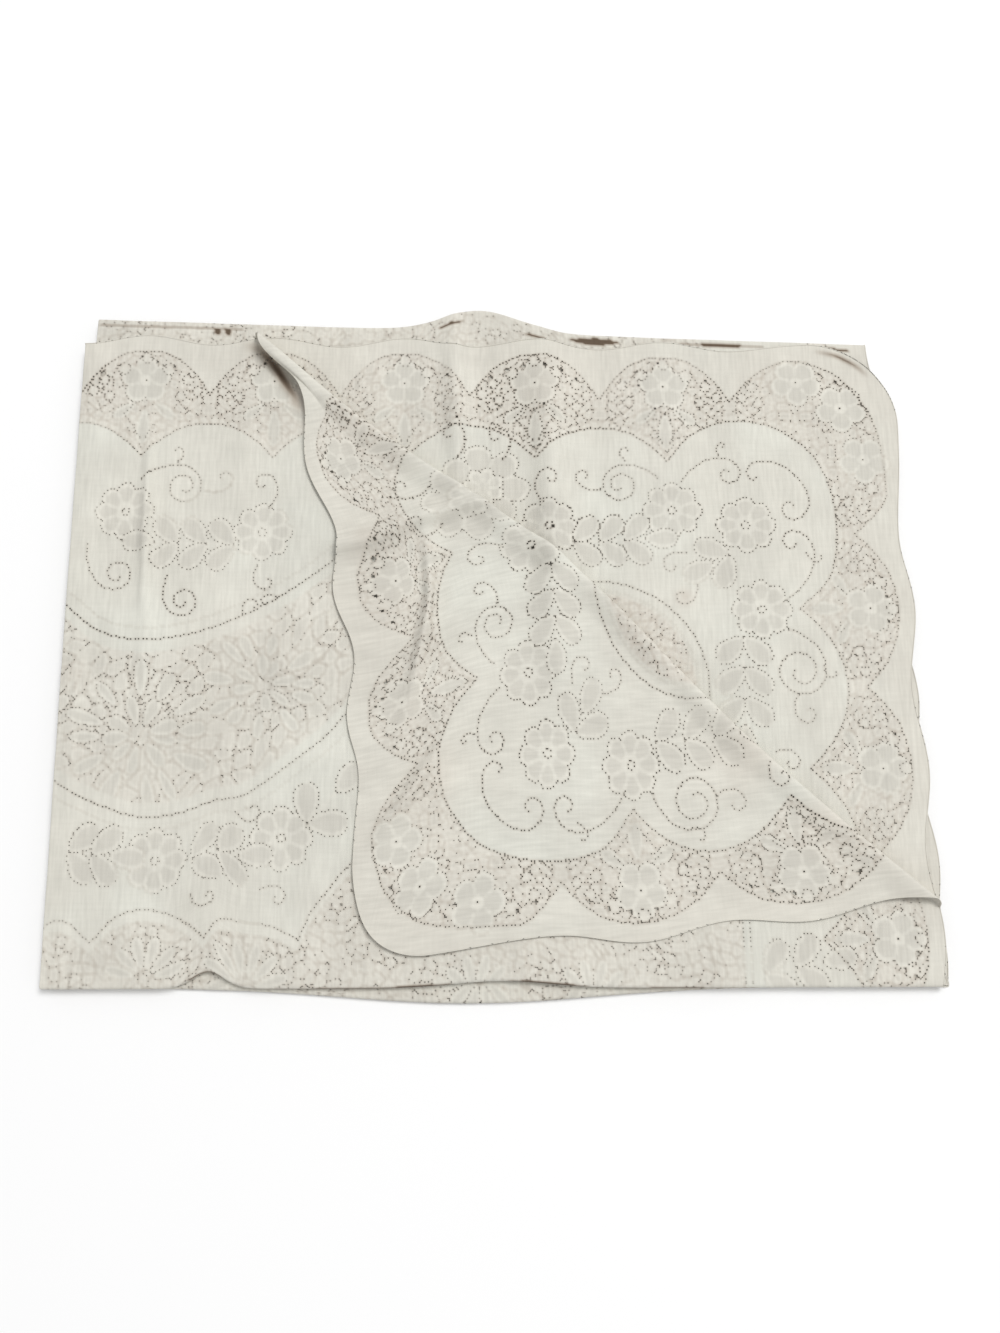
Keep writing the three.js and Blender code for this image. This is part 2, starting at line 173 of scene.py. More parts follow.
def ease(value):
    value = clamp(value)
    return value * value * (3 - 2 * value)


def between(value, low, high):
    return clamp((value - low) / (high - low))


def hump(distance, spread):
    return np.exp(-(distance / spread) ** 2)


def blend(first, second, share):
    return first + (second - first) * share


def layer_height(layer):
    return SHEET / 2 + layer * LAYER_PITCH


def past_layer(z, layer):
    """From 0 at a layer's upper face to 1 at the next layer's lower face."""
    return between(z, layer_height(layer) + SHEET / 2, layer_height(layer + 1) - SHEET / 2)


def make_stretches():
    """The long way of the cloth: straight runs joined by turns, from the uppermost hem to the lowest."""
    stretches = []
    start = 0.0
    for index, (run_from, run_to) in enumerate(RUN_ENDS):
        heading = 1.0 if run_to > run_from else -1.0
        height = layer_height(0) + LAYER_PITCH / 2 + (len(RUN_ENDS) - 1 - index) * 2 * LAYER_PITCH
        first = run_from if index == 0 else run_from + heading * TURN
        last = run_to if index == len(RUN_ENDS) - 1 else run_to - heading * TURN
        length = abs(last - first)
        stretches.append(("run", start, length, first, heading, height))
        start += length
        if index < len(RUN_ENDS) - 1:
            stretches.append(("turn", start, TURN_LENGTH, last, heading, height))
            start += TURN_LENGTH
    return stretches


STRETCHES = make_stretches()
TURNS = [start for kind, start, *_ in STRETCHES if kind == "turn"]
TOP_RUN = STRETCHES[0][2]
LENGTH = STRETCHES[-1][1] + STRETCHES[-1][2]
PITCH_END = (HALF_WIDTH - FIRST_FAN_END) / FANS_ACROSS
PITCH_SIDE = (LENGTH / 2 - FIRST_FAN_SIDE) / FANS_ALONG

CREASE_LENGTH = np.hypot(HALF_WIDTH - TURN_BACK_LEFT, TURN_BACK_HEM)
CREASE_WAY = np.array([HALF_WIDTH - TURN_BACK_LEFT, TURN_BACK_HEM]) / CREASE_LENGTH
CREASE_NORMAL = np.array([CREASE_WAY[1], -CREASE_WAY[0]])


def beyond_crease(u, v):
    """Distance beyond the crease, positive on the side of the corner that is turned back."""
    along = (u - TURN_BACK_LEFT) * CREASE_WAY[0] + v * CREASE_WAY[1]
    across = (u - TURN_BACK_LEFT) * CREASE_NORMAL[0] + v * CREASE_NORMAL[1]
    return across - TURN_BOW["reach"] * hump(along - TURN_BOW["at"], TURN_BOW["spread"])


def along_runs(v):
    """Height and place of the long way's folds, and the direction of the cloth's outer face."""
    y, z, facing_y, facing_up = np.zeros((4, len(v)))
    for index, (kind, start, length, first, heading, height) in enumerate(STRETCHES):
        here = v >= start if index else np.ones(len(v), bool)
        past = v[here] - start
        if kind == "run":
            y[here] = first + heading * past
            z[here] = height
            facing_y[here] = 0
            facing_up[here] = -heading
        else:
            angle = past / TURN
            y[here] = first + heading * TURN * np.sin(angle)
            z[here] = height - TURN * (1 - np.cos(angle))
            facing_y[here] = -np.sin(angle)
            facing_up[here] = -heading * np.cos(angle)
    return y, z, facing_y, facing_up


def in_even_stack(u, v, out):
    """Places of flat points in the even stack, off the sheet's middle by out."""
    angle = np.clip(u / HAIRPIN, -pi / 2, pi / 2)
    beyond_fold = np.maximum(np.abs(u) - HAIRPIN_HALF, 0)
    x = LEFT_FOLD + HAIRPIN * (1 - np.cos(angle)) + beyond_fold
    offset = HAIRPIN * np.sin(angle)
    y, z, facing_y, facing_up = along_runs(v)
    place = np.stack([x, y + offset * facing_y, z + offset * facing_up], 1)
    facing = np.stack([-np.cos(angle), np.sin(angle) * facing_y, np.sin(angle) * facing_up], 1)
    beyond = beyond_crease(u, v)
    turned = (beyond > 0) & (u > 0) & (v < TOP_RUN)
    beyond = beyond[turned]
    angle = np.minimum(beyond / CREASE_ROLL, pi)
    straight = np.maximum(beyond - pi * CREASE_ROLL, 0)
    away = np.array([CREASE_NORMAL[0], -CREASE_NORMAL[1], 0])
    place[turned] += away * (CREASE_ROLL * np.sin(angle) - straight - beyond)[:, None]
    sinks = (2 * CREASE_ROLL - LAYER_PITCH) * ease(straight / CREASE_SOFTENS)
    place[turned, 2] += CREASE_ROLL * (1 - np.cos(angle)) - sinks
    up = np.zeros((len(angle), 3))
    up[:, 2] = np.cos(angle)
    facing[turned] = up - np.sin(angle)[:, None] * away
    return place + facing * out[:, None]


def wander(edge, x):
    shift_left, shift_right, bumps = edge
    shift = blend(shift_left, shift_right, between(x, LEFT_FOLD, RIGHT_HEM))
    for bump_x, spread, height in bumps:
        shift = shift + height * hump(x - bump_x, spread)
    return shift


def crease_at(creases, x, y):
    """Height of soft ridges and troughs along lines, fading towards their ends."""
    height = 0.0
    for x0, y0, x1, y1, width, ridge in creases:
        length = np.hypot(x1 - x0, y1 - y0)
        along = ((x - x0) * (x1 - x0) + (y - y0) * (y1 - y0)) / length ** 2
        across = ((x - x0) * (y1 - y0) - (y - y0) * (x1 - x0)) / length
        height = height + ridge * hump(across, width) * hump(along - 0.5, CREASE_FADE) ** 2
    return height


def rise_at(rises, x, y):
    return sum(height * hump(x - at_x, spread_x) * hump(y - at_y, spread_y)
               for at_x, at_y, spread_x, spread_y, height in rises)


def waves(x, y, height, lengths, bends, over):
    """Uneven waves both ways, each of which bends with the other."""
    across = np.sin(x / lengths[0] + bends[0] * np.sin(y / over[0]))
    along = np.sin(y / lengths[1] + bends[1] * np.sin(x / over[1]))
    return height * (across * along)


def pucker(x, y):
    return waves(x, y, **WIDE_PUCKER) + waves(x, y, **CLOSE_PUCKER)


def settle(place):
    """Carries points of the even stack to the uneven one that the cloth lies in."""
    x, y, z = place.T
    corner = past_layer(z, TOP_LAYER)
    lower = 1 - past_layer(z, TOP_LAYER - 2)
    near_top = past_layer(z, TOP_LAYER - 4)
    far_fold = np.minimum(past_layer(z, TOP_LAYER - 6), lower)
    right = between(x, LEFT_FOLD, RIGHT_HEM)
    away = between(y, -STACK_REACH, STACK_REACH)
    far = blend(wander(FAR_HEM, x), wander(FAR_FOLD, x), far_fold) * ease(y / STACK_REACH)
    near = blend(wander(NEAR_LOW_FOLD, x), wander(NEAR_FOLD, x), near_top) * ease(-y / STACK_REACH)
    lean = blend(LEFT_LEAN["near"], LEFT_LEAN["far"], away) * (1 - right)
    skew_left = blend(LOWER_SKEW["left_near"], LOWER_SKEW["left_far"], away)
    skew_right = blend(LOWER_SKEW["right_near"], LOWER_SKEW["right_far"], away)
    skew = blend(skew_left, skew_right, right) * lower
    from_crease = -beyond_crease(x - LEFT_FOLD, RUN_ENDS[0][0] - y)
    freedom = corner * ease(from_crease / SLIP_GROWTH)
    slip_x = 0.0
    slip_y = 0.0
    for at_x, at_y, spread_x, spread_y, shift_x, shift_y in CORNER_SLIPS:
        share = freedom * hump(x - at_x, spread_x) * hump(y - at_y, spread_y)
        slip_x = slip_x + shift_x * share
        slip_y = slip_y + shift_y * share
    at_tip = hump(x - TIP_SLIP["x"], TIP_SLIP["spread_x"])
    at_tip = at_tip * hump(y - TIP_SLIP["y"], TIP_SLIP["spread_y"])
    slip_x = slip_x + TIP_SLIP["shift"] * at_tip * corner * ease(from_crease / TIP_SLIP["growth"])
    rise = rise_at(STACK_RISES, x, y) + crease_at(STACK_CREASES, x, y) + pucker(x, y)
    rise = rise * between(z, SHEET, layer_height(TOP_LAYER) + SHEET / 2)
    lift = rise_at(CORNER_LIFTS, x, y) + crease_at(CORNER_CREASES, x, y) + pucker(y + PUCKER_SHIFT, x)
    return np.stack([x + lean + skew + slip_x, y + far + near + slip_y, z + rise + lift * corner], 1)


def folded(u, v, out=0.0):
    """Places of flat points in the folded cloth, in metres in the solid's frame."""
    place = settle(in_even_stack(u, v, np.zeros(len(u)) + out))
    place[:, 0] -= BOX_MIDDLE[0]
    place[:, 1] -= BOX_MIDDLE[1]
    return place * MM


def hem_depth(u, v):
    """Distance inside the scalloped edge of the flat cloth, below 0 outside."""
    side = HALF_WIDTH - np.abs(u)
    end = np.minimum(v, LENGTH - v)
    half_arc = pi * CORNER_RADIUS / 4
    in_corner = (side < CORNER_RADIUS) & (end < CORNER_RADIUS)
    by_end = end < side
    to_side = CORNER_RADIUS - side
    to_end = CORNER_RADIUS - end
    arc = np.where(by_end, half_arc + side - CORNER_RADIUS, half_arc + end - CORNER_RADIUS)
    corner_arc = (np.arctan2(to_end, to_side) - pi / 4) * CORNER_RADIUS
    arc = np.where(in_corner, np.abs(corner_arc), arc)
    by_end = np.where(in_corner, corner_arc > 0, by_end)
    depth = np.where(in_corner, CORNER_RADIUS - np.hypot(to_side, to_end), np.minimum(side, end))
    first = half_arc - CORNER_RADIUS + np.where(by_end, FIRST_FAN_END, FIRST_FAN_SIDE)
    pitch = np.where(by_end, PITCH_END, PITCH_SIDE)
    corner_end = first + pitch / 2
    turns = np.where(arc < corner_end, (arc / corner_end) ** 2 / 2, (arc - first) / pitch)
    return depth + SCALLOP_DEPTH * np.cos(2 * pi * turns)


# The lace is drawn on a quarter of the cloth: a is the distance from the side hem, b from the end hem.
# Motifs of the field in one half of a group of fans, between two a and above a depth, are mirrored to
# the other half.
GROUP_FROM = 210.0
GROUP_MIDDLE = 464.0
GROUP_DEPTH = 225.0
MIRROR_FROM = 330.0
MIRROR_TO = 596.0
MIRROR_STRETCH = 1.11
MIRROR_DROP = 5.0

# Flowers: a, b, radius, petals
FLOWERS = [
    (330, 190, 27, 8),
    (214, 171, 27, 8),
    (146, 186, 27, 8),
    (136, 269, 27, 8),
    (681, 494, 27, 8),
    (571, 475, 27, 8),
]

# Large faint flowers: a, b, radius, petals
FAINT_FLOWERS = [
    (390, 149, 42, 7),
    (250, 330, 30, 7),
]

# Sprays of leaves in pairs along a stem: from a, b to a, b, pairs, leaf length
SPRAYS = [
    (306, 203, 236, 200, 3, 30),
    (154, 296, 157, 380, 3, 31),
    (756, 486, 716, 490, 2, 31),
    (648, 496, 604, 491, 2, 31),
    (163, 216, 182, 226, 1, 32),
    (548, 462, 520, 432, 1, 34),
    (152, 588, 98, 578, 2, 30),
]

# Scrolls that curl in on an eye: from a, b, eye a, b, turns, radius of the curl
SCROLLS = [
    (226, 139, 262, 146, 1.80, 16),
    (280, 150, 296, 137, -1.10, 7),
    (256, 121, 255, 111, -0.70, 5),
    (204, 142, 160, 134, -1.35, 11),
    (168, 114, 164, 106, -0.70, 5),
    (97, 135, 134, 135, 0.85, 9),
    (97, 135, 103, 169, -1.20, 11),
    (116, 262, 104, 203, 1.25, 11),
    (91, 214, 81, 217, 0.70, 5),
    (112, 288, 104, 327, -1.85, 21),
    (82, 322, 74, 328, 0.70, 5),
    (107, 348, 100, 365, 1.00, 9),
    (131, 400, 118, 409, -1.00, 8),
    (203, 214, 217, 226, 1.00, 7),
    (194, 246, 208, 256, -1.00, 7),
    (757, 208, 729, 236, 1.60, 13),
    (682, 238, 667, 262, 1.60, 13),
    (600, 228, 592, 243, 0.90, 8),
    (335, 166, 329, 142, -1.10, 9),
    (372, 120, 378, 97, 1.05, 9),
    (414, 120, 421, 96, 1.05, 9),
    (612, 274, 603, 266, -0.80, 6),
    (580, 259, 590, 262, 0.80, 6),
    (612, 455, 597, 452, 1.00, 7),
    (648, 528, 634, 535, 1.00, 7),
    (588, 518, 573, 525, -1.00, 7),
]

# Contours of the panels in the field, as points on a smooth line, and how far inside its second line is
CONTOURS = [
    ([(776, 264), (742, 290), (703, 298), (661, 293), (620, 279), (580, 258), (541, 231), (505, 200)], 11),
    ([(776, 424), (747, 440), (700, 456), (655, 453), (615, 444), (575, 418), (533, 385), (505, 352)], -11),
]

# Leaves round two middles in the long panel: middle a, b, first and last radius, leaves, width
PANEL_RINGS = [
    (700, 385, 9, 36, 9, 13),
    (700, 385, 34, 66, 12, 15),
    (591, 340, 7, 28, 8, 11),
    (591, 340, 26, 52, 11, 14),
]
PANEL_BAND = 12.0
PANEL_SLANT = 0.65
PANEL_STRETCH = 1.5

# Fans of leaves in the middle panel, beneath its arcs: middle a, b, first and last radius, leaves, width
PALMETTES = [
    (685, 592, 8, 36, 6, 11),
    (598, 600, 8, 38, 6, 11),
    (300, 612, 8, 36, 6, 11),
    (400, 612, 8, 36, 6, 11),
]

# The round panel on the crease: a, b, radius, and the distance to its second line
ROUND_PANEL = (287, 342, 100, 9)

# The top of the middle panel, as arcs between cusps, the distance to its second line, and its side
PANEL_ARCS = [
    [(782, 562), (770, 546), (755, 545), (733, 562)],
    [(733, 562), (712, 541), (685, 535), (658, 544), (635, 571)],
    [(635, 571), (621, 553), (601, 547), (577, 549), (554, 560)],
    [(554, 560), (545, 540), (529, 519), (513, 500), (490, 484)],
]
PANEL_SECOND = 10.0
PANEL_SIDE = dict(at=170.0, second=163.0, from_b=540.0, to_b=640.0)

# The border: depths of its outer and inner arcs, at the middle of an arc and between arcs
END_BORDER = dict(outer=(12.0, 58.0), inner=(87.0, 121.0))
SIDE_BORDER = dict(outer=(11.0, 45.0), inner=(62.0, 101.0))
SECOND_LINE = 6.5

# The corner of the border, from the end border's first cusps to the side border's, as points a, b
CORNER_INNER = [
    (217, 121), (195, 95), (160, 79), (120, 83), (87, 105), (70, 132), (62, 170),
    (64, 212), (75, 243), (102, 269),
]
CORNER_OUTER = [
    (155, 58), (130, 30), (101, 15), (73, 18), (49, 31), (31, 53), (19, 78), (14, 104),
    (12, 131), (15, 162), (45, 195),
]

# The lines of the border: name, its corner, the fan from which its arcs are counted, from arc to arc along
# the end and along the side, and the sharpness of the cusps
BORDER_LINES = [
    ("outer", CORNER_OUTER, 0.0, (0.5, 6), (0.5, 8), 2.4),
    ("inner", CORNER_INNER, 1.5, (-0.5, 4.5), (-0.5, 7), 2.2),
]

# In each fan, as distances from its middle and depths: its flower, leaves, rings and the lines of its tulip
FAN_FLOWER = dict(depth=43.0, petal=24.0, petals=5, lobes=0.36, disc=5.5)
FAN_LEAVES = [(0, 72, 0, 110, 15), (8, 66, 29, 82, 12), (-8, 66, -29, 82, 12)]
FAN_RINGS = [(0, 19, 5.5), (22, 31, 6.2), (40, 42, 5.2), (50, 54, 4.6), (34, 60, 5.0)]
TULIP = [(9, 66), (19, 78), (9, 92), (2, 104)]
CORNER_FLOWERS = [(90, 37), (49, 64), (31, 118)]
CORNER_FACING = -2.2

# The larger gaps of each fan, as distances from its middle and depths, the least and most reach of a gap,
# and the pull of the threads over which it widens and over which it darkens
FAN_GAPS = [(10, 24), (26, 28), (41, 36)]
GAP_REACH = (1.1, 3.0)
GAP_WIDENS = (0.6, 1.1)
GAP_DARKENS = (0.2, 1.0)

# Forms of the motifs, in millimetres or as shares of their size, and for the two rows of a faint flower's
# petals the share of its radius, the depth of the lobes and the facing
LEAF = dict(round=0.55, middle=0.86, swell=0.26, rim=2.2, dots_off=0.8, steps=21)
PETAL = dict(rim=2.8, parting=0.8, parted_from=0.3, dots_off=0.9)
FLOWER = dict(lobes=0.25, disc=0.33, eye=3.6)
FAINT_PETALS = [(1.0, 0.42, 0.4), (0.45, 0.35, 0.0)]
SPRAY = dict(ahead=0.72, aside=0.76, apart=0.5, width=0.70, end_back=4.0, end_length=0.85, end_width=0.68)
SCROLL = dict(opens_over=50.0, closes=0.8, late=2.5, steps=90)
RING = dict(disc=0.6, pitch=3.6, steps=40)

# The cloth of the motifs and the hem: how sheer, how warm and how light it is, and the shade of the cord
HEM_WARMTH = 0.4
PLAIN_CLOTH = (0.0, HEM_WARMTH, 0.0)
SHEER_CLOTH = (0.62, 0.15, 0.0)
LEAF_RIM = (0.05, 0.1, 0.65)
PETAL_RIM = (0.05, 0.1, 0.80)
FLOWER_DISC = (0.0, 0.05, 0.55)
FAN_DISC = (0.0, 0.1, 0.80)
RING_DISC = (0.0, 0.6, 0.30)
CORD_CLOTH = (0.0, 0.5, 0.2, 0.0)

# Light threads: half width and lightness
STEM_THREAD = (1.5, 0.5)
SCROLL_THREAD = (1.8, 0.35)
SCROLL_BESIDE = 2.2
INNER_THREAD = (SECOND_LINE / 2, 0.5)
PANEL_THREAD = (PANEL_SECOND / 2, 0.35)

# Grounds of small leaves that lie close together: their size, warmth, strength of dots and sheerness
BORDER_GROUND = (10.0, 0.8, 0.60, 0.55)
LONG_GROUND = (13.0, 0.45, 0.56, 0.40)
ROUND_GROUND = (9.0, 1.0, 0.72, 0.55)
MIDDLE_GROUND = (10.0, 0.5, 0.60, 0.20)
ROUND_MARGIN = 3.0
# How the leaves of a ground bend, their rims from the edge inwards, and how they vary
GROUND = dict(bend=0.4, rates=(1.1, 1.3), line=1.6, edge=2.2, light=4.6, rim_sheer=0.05, rim_light=0.75)
GROUND_JITTER = (0.15, 0.7)
SCATTER_RATES = (12.9898, 78.233, 37.719)
SCATTER_SCALE = 43758.5453
GROUND_DOTS = (0.6, 0.7)
GROUND_LINE = 0.26
LINED_LEAVES = (0.15, 0.6)
# How the leaves of the rings vary: turn, least length, more length, least width, more width, soft line
RING_LEAVES = dict(turn=0.5, length=0.8, longer=0.35, width=0.7, wider=0.5, line=0.24)

# Dots of the outlines: their distance apart, the strength above which a dot is an opening, its least size,
# the painted shade of the line beneath them, and their strength in each motif and line
DOT_PITCH = 3.7
OPENS_ABOVE = 0.45
SMALLEST_OPENING = 0.50
LINE_SHADE = 0.28
DOTS = dict(
    leaf=0.74, fan_leaf=0.6, ring_leaf=0.5, palmette=0.6,
    flower=0.80, flower_eye=0.9, faint_flower=0.6, fan_flower=0.68, corner_flower=0.6, fan_eye=1.1,
    tulip=0.7, ring=0.76, scroll=0.85, outer=0.82, inner=0.88, inner_second=0.42,
    contour=0.88, contour_second=0.45, round=0.90, round_second=0.5, arc=0.80, arc_second=0.5, side=0.8,
)

# How far the threads are pulled apart: on the second panel, the upper panel and the turned-back corner
PULL_SECOND = 0.74
PULL_UPPER = 0.71
PULL_CORNER = 0.84
PULL_WAVES = dict(height=0.20, lengths=(31, 27), bends=(2.0, 1.5), over=(47, 39))

# Places where they are pulled further apart: side of the middle line, a, b, spread, extra strength
PULLED = [
    (-1, 390, 149, 70, 0.30),
    (-1, 330, 190, 46, 0.25),
    (-1, 341, 22, 40, 0.48),
    (-1, 341, 96, 26, 0.52),
    (-1, 366, 64, 26, 0.35),
    (-1, 30, 50, 30, 0.55),
    (-1, 160, 52, 22, 0.30),
    (1, 66, 436, 32, 0.40),
    (1, 38, 580, 40, 0.35),
    (1, 503, 66, 30, 0.50),
    (1, 360, 40, 30, 0.12),
    (1, 470, 95, 24, 0.35),
    (1, 651, 62, 26, 0.50),
    (1, 765, 40, 22, 0.50),
    (1, 700, 345, 90, 0.26),
]

# Old stains and patches of painted shade, as at a wrinkle on the turned-back corner: side of the middle
# line, a, b, radius, warmth, darkness
STAINS_AND_SHADE = [
    (-1, 206, 257, 8, 1.0, 0.10),
    (1, 388, 28, 16, 0.8, 0.06),
    (1, 764, 330, 24, 0.8, 0.03),
    (1, 141, 381, 34, 0.7, 0.07),
    (1, 66, 440, 28, 0.9, 0.08),
    (1, 485, 79, 34, 0.9, 0.07),
    (1, 373, 31, 28, 0.9, 0.03),
    (1, 323, 33, 28, 0.8, 0.05),
    (1, 207, 47, 30, 0.8, 0.05),
    (1, 137, 67, 32, 0.9, 0.06),
    (-1, 335, 49, 34, 0.8, 0.05),
]

# Painted shadows beneath the tip of the turned-back corner and along the second panel's hem at its corner:
# side of the middle line, half width, strength and points a, b
EDGE_SHADOWS = [
    (1, 5.6, 1.0, [(618, 5), (606, 9), (596, 20), (588, 30), (580, 43), (570, 59), (565, 74)]),
    (-1, 2.2, 1.0, [(68, 3), (51, 7), (41, 12), (31, 18.5), (21, 28)]),
]
EDGE_REACH = 2.5
EDGE_TAPER = 0.6

# From this distance a to its tip, the turned-back corner shows only its plain hem
PLAIN_TIP = 527.0
# Width of the hem, which has no openings
CLOSE_HEM = 5.0


def smooth_line(points, per_span=10):
    """A smooth line through given points."""
    points = np.array(points, float)
    ends = np.concatenate([[2 * points[0] - points[1]], points, [2 * points[-1] - points[-2]]])
    share = np.linspace(0, 1, per_span, endpoint=False)[:, None]
    spans = []
    for before, start, end, after in zip(ends, ends[1:], ends[2:], ends[3:]):
        cubic = 3 * (start - end) + after - before
        square = 2 * before - 5 * start + 4 * end - after
        spans.append(start + 0.5 * share * (end - before + share * (square + share * cubic)))
    return np.concatenate(spans + [points[-1:]])


def evenly(points, pitch):
    """Points a pitch apart along a line."""
    points = np.asarray(points, float)
    steps = np.hypot(*np.diff(points, axis=0).T)
    reach = np.concatenate([[0], np.cumsum(steps)])
    places = np.arange(0, reach[-1], pitch)
    return np.stack([np.interp(places, reach, points[:, axis]) for axis in (0, 1)], 1)


def beside(points, distance):
    """A line beside another, on its left for a positive distance."""
    way = np.gradient(points, axis=0)
    way = way / np.hypot(*way.T)[:, None]
    return points + distance * np.stack([-way[:, 1], way[:, 0]], 1)


def around(a, b, radius, count=CIRCLE_STEPS):
    """Points round a circle, or round a form whose radius changes from point to point."""
    turn = np.linspace(0, 2 * pi, count)
    return np.stack([a + radius * np.cos(turn), b + radius * np.sin(turn)], 1)


def leaf_half(width, along):
    """Half the width of a leaf, from -1 at its base to 1 at its tip."""
    form = np.maximum(1 - along ** 2, 0) ** LEAF["round"]
    return width / 2 * form * (LEAF["middle"] + LEAF["swell"] * along)


def petal_lobe(count, turn):
    return np.abs(np.cos(count / 2 * turn))


def petal_edge(radius, lobes, lobe):
    return radius * (1 - lobes + lobes * lobe ** 0.5)


class Chart:
    """The lace of one half of the cloth, with a value for each cell of the flat mesh."""

    def __init__(self, side, a, v):
        self.side = side
        self.a = a
        self.b = np.minimum(v, LENGTH - v)
        self.grid = (self.a[:, None], self.b[None, :])
        shape = (len(a), len(v))
        self.open = np.zeros(shape, bool)
        self.sheer, self.warm, self.bright, self.shade = np.zeros((4, *shape))

    def pull(self, a, b):
        """How far the threads are pulled apart, from about 0.5 in close places to 1.5."""
        pulled = PULL_SECOND
        if self.side > 0:
            pulled = np.where(beyond_crease(HALF_WIDTH - a, b) > 0, PULL_CORNER, PULL_UPPER)
        pulled = pulled + waves(a, b, **PULL_WAVES)
        for side, at_a, at_b, spread, extra in PULLED:
            if side == self.side:
                pulled = pulled + extra * hump(np.hypot(a - at_a, b - at_b), spread)
        return pulled

    def near(self, a, b, reach=AT_POINT):
        """Cells round a place, or the cell that it is in, and their distances from it both ways."""
        rows = np.flatnonzero(np.abs(self.a - a) < reach)
        columns = np.flatnonzero(np.abs(self.b - b) < reach)
        return np.ix_(rows, columns), self.a[rows][:, None] - a, self.b[columns][None, :] - b

    def gap(self, a, b):
        pull = self.pull(a, b)
        reach = blend(*GAP_REACH, between(pull, *GAP_WIDENS))
        cells, da, db = self.near(a, b, reach + CELL)
        here = np.abs(da) + np.abs(db) < reach
        # The gap opens, and its cells are painted with shade that deepens as the threads pull apart
        self.open[cells] |= here
        self.shade[cells] = np.where(here, between(pull, *GAP_DARKENS), self.shade[cells])

    def dotted(self, points, motif, pitch=DOT_PITCH):
        # Each dot is painted with shade, for the shadow seen through an opening, and the strong ones are
        # opened
        points = evenly(points, pitch)
        strengths = DOTS[motif] * self.pull(points[:, 0], points[:, 1])
        for (a, b), dot in zip(points, strengths):
            cells = self.near(a, b)[0]
            self.open[cells] |= dot > OPENS_ABOVE
            self.shade[cells] = np.maximum(self.shade[cells], min(dot, 1.0))

    def darken(self, points, amount):
        for a, b in evenly(points, CELL):
            cells = self.near(a, b)[0]
            self.shade[cells] = np.maximum(self.shade[cells], amount)

    def line(self, points, motif):
        """A dotted line over a faint line of painted shade."""
        self.darken(points, LINE_SHADE * DOTS[motif])
        self.dotted(points, motif)

    def double_line(self, points, second, motif):
        self.line(points, motif)
        self.dotted(second, motif + "_second")

    def thread(self, points, width, light):
        for a, b in evenly(points, CELL):
            cells, da, db = self.near(a, b, width)
            here = np.hypot(da, db) < width
            self.bright[cells] = np.where(here, np.maximum(self.bright[cells], light), self.bright[cells])

    def layers(self):
        return self.sheer, self.warm, self.bright, self.shade

    def fill(self, cells, here, cloth):
        """Sets the cloth of a motif, and takes the ground's stitches away beneath it."""
        self.open[cells] &= ~here
        for values, value in zip(self.layers(), (*cloth, 0.0)):
            values[cells] = np.where(here, value, values[cells])

    def disc(self, a, b, radius, cloth):
        cells, da, db = self.near(a, b, radius)
        self.fill(cells, np.hypot(da, db) < radius, cloth)

    def leaf(self, base, tip, width, motif, soft=0.0):
        """A leaf with a light rim and a dotted outline, and a soft line beneath that if asked for."""
        base, tip = np.array([base, tip], float)
        length = np.hypot(*(tip - base))
        way = (tip - base) / length
        middle = (base + tip) / 2
        cells, da, db = self.near(*middle, length / 2 + 2 * CELL)
        along = (da * way[0] + db * way[1]) / (length / 2)
        across = np.abs(db * way[0] - da * way[1])
        half = leaf_half(width, along)
        inside = across < half
        self.fill(cells, inside, SHEER_CLOTH)
        self.fill(cells, inside & (across > half - LEAF["rim"]), LEAF_RIM)
        share = np.linspace(-1, 1, LEAF["steps"])
        bulge = leaf_half(width, share) + LEAF["dots_off"]
        for side in (-1, 1):
            normal = side * np.array([-way[1], way[0]])
            edge_line = middle + share[:, None] * way * (length / 2) + bulge[:, None] * normal
            self.darken(edge_line, soft)
            self.dotted(edge_line, motif)

    def ray(self, middle, angle, first, last, width, motif, soft=0.0):
        """A leaf that points away from a middle."""
        way = np.array([np.cos(angle), np.sin(angle)])
        self.leaf(middle + first * way, middle + last * way, width, motif, soft)

    def petals(self, a, b, radius, count, lobes, facing, motif):
        """A flower's petals, with a light rim round each and a dotted outline."""
        cells, da, db = self.near(a, b, radius + 2 * CELL)
        distance = np.hypot(da, db)
        lobe = petal_lobe(count, np.arctan2(db, da) - facing)
        edge = petal_edge(radius, lobes, lobe)
        inside = distance < edge
        parting = lobe * distance < PETAL["parting"] * count / 2
        parting = parting & (distance > radius * PETAL["parted_from"])
        rim = distance > edge - PETAL["rim"]
        self.fill(cells, inside, SHEER_CLOTH)
        self.fill(cells, inside & (rim | parting), PETAL_RIM)
        turn = np.linspace(0, 2 * pi, CIRCLE_STEPS)
        outline = petal_edge(radius, lobes, petal_lobe(count, turn - facing)) + PETAL["dots_off"]
        self.dotted(around(a, b, outline), motif)

    def flower(self, a, b, radius, count):
        """A flower of the field, with an eye of dots in a close disc."""
        self.petals(a, b, radius, count, FLOWER["lobes"], 0.0, "flower")
        self.disc(a, b, radius * FLOWER["disc"], FLOWER_DISC)
        self.dotted(around(a, b, FLOWER["eye"]), "flower_eye", RING["pitch"])

    def fan_flower(self, centre, facing, motif):
        """A flower of a fan, with a dot in a light disc."""
        self.petals(*centre, FAN_FLOWER["petal"], FAN_FLOWER["petals"], FAN_FLOWER["lobes"], facing, motif)
        self.disc(*centre, FAN_FLOWER["disc"], FAN_DISC)
        self.dotted([centre, centre + CELL], "fan_eye")

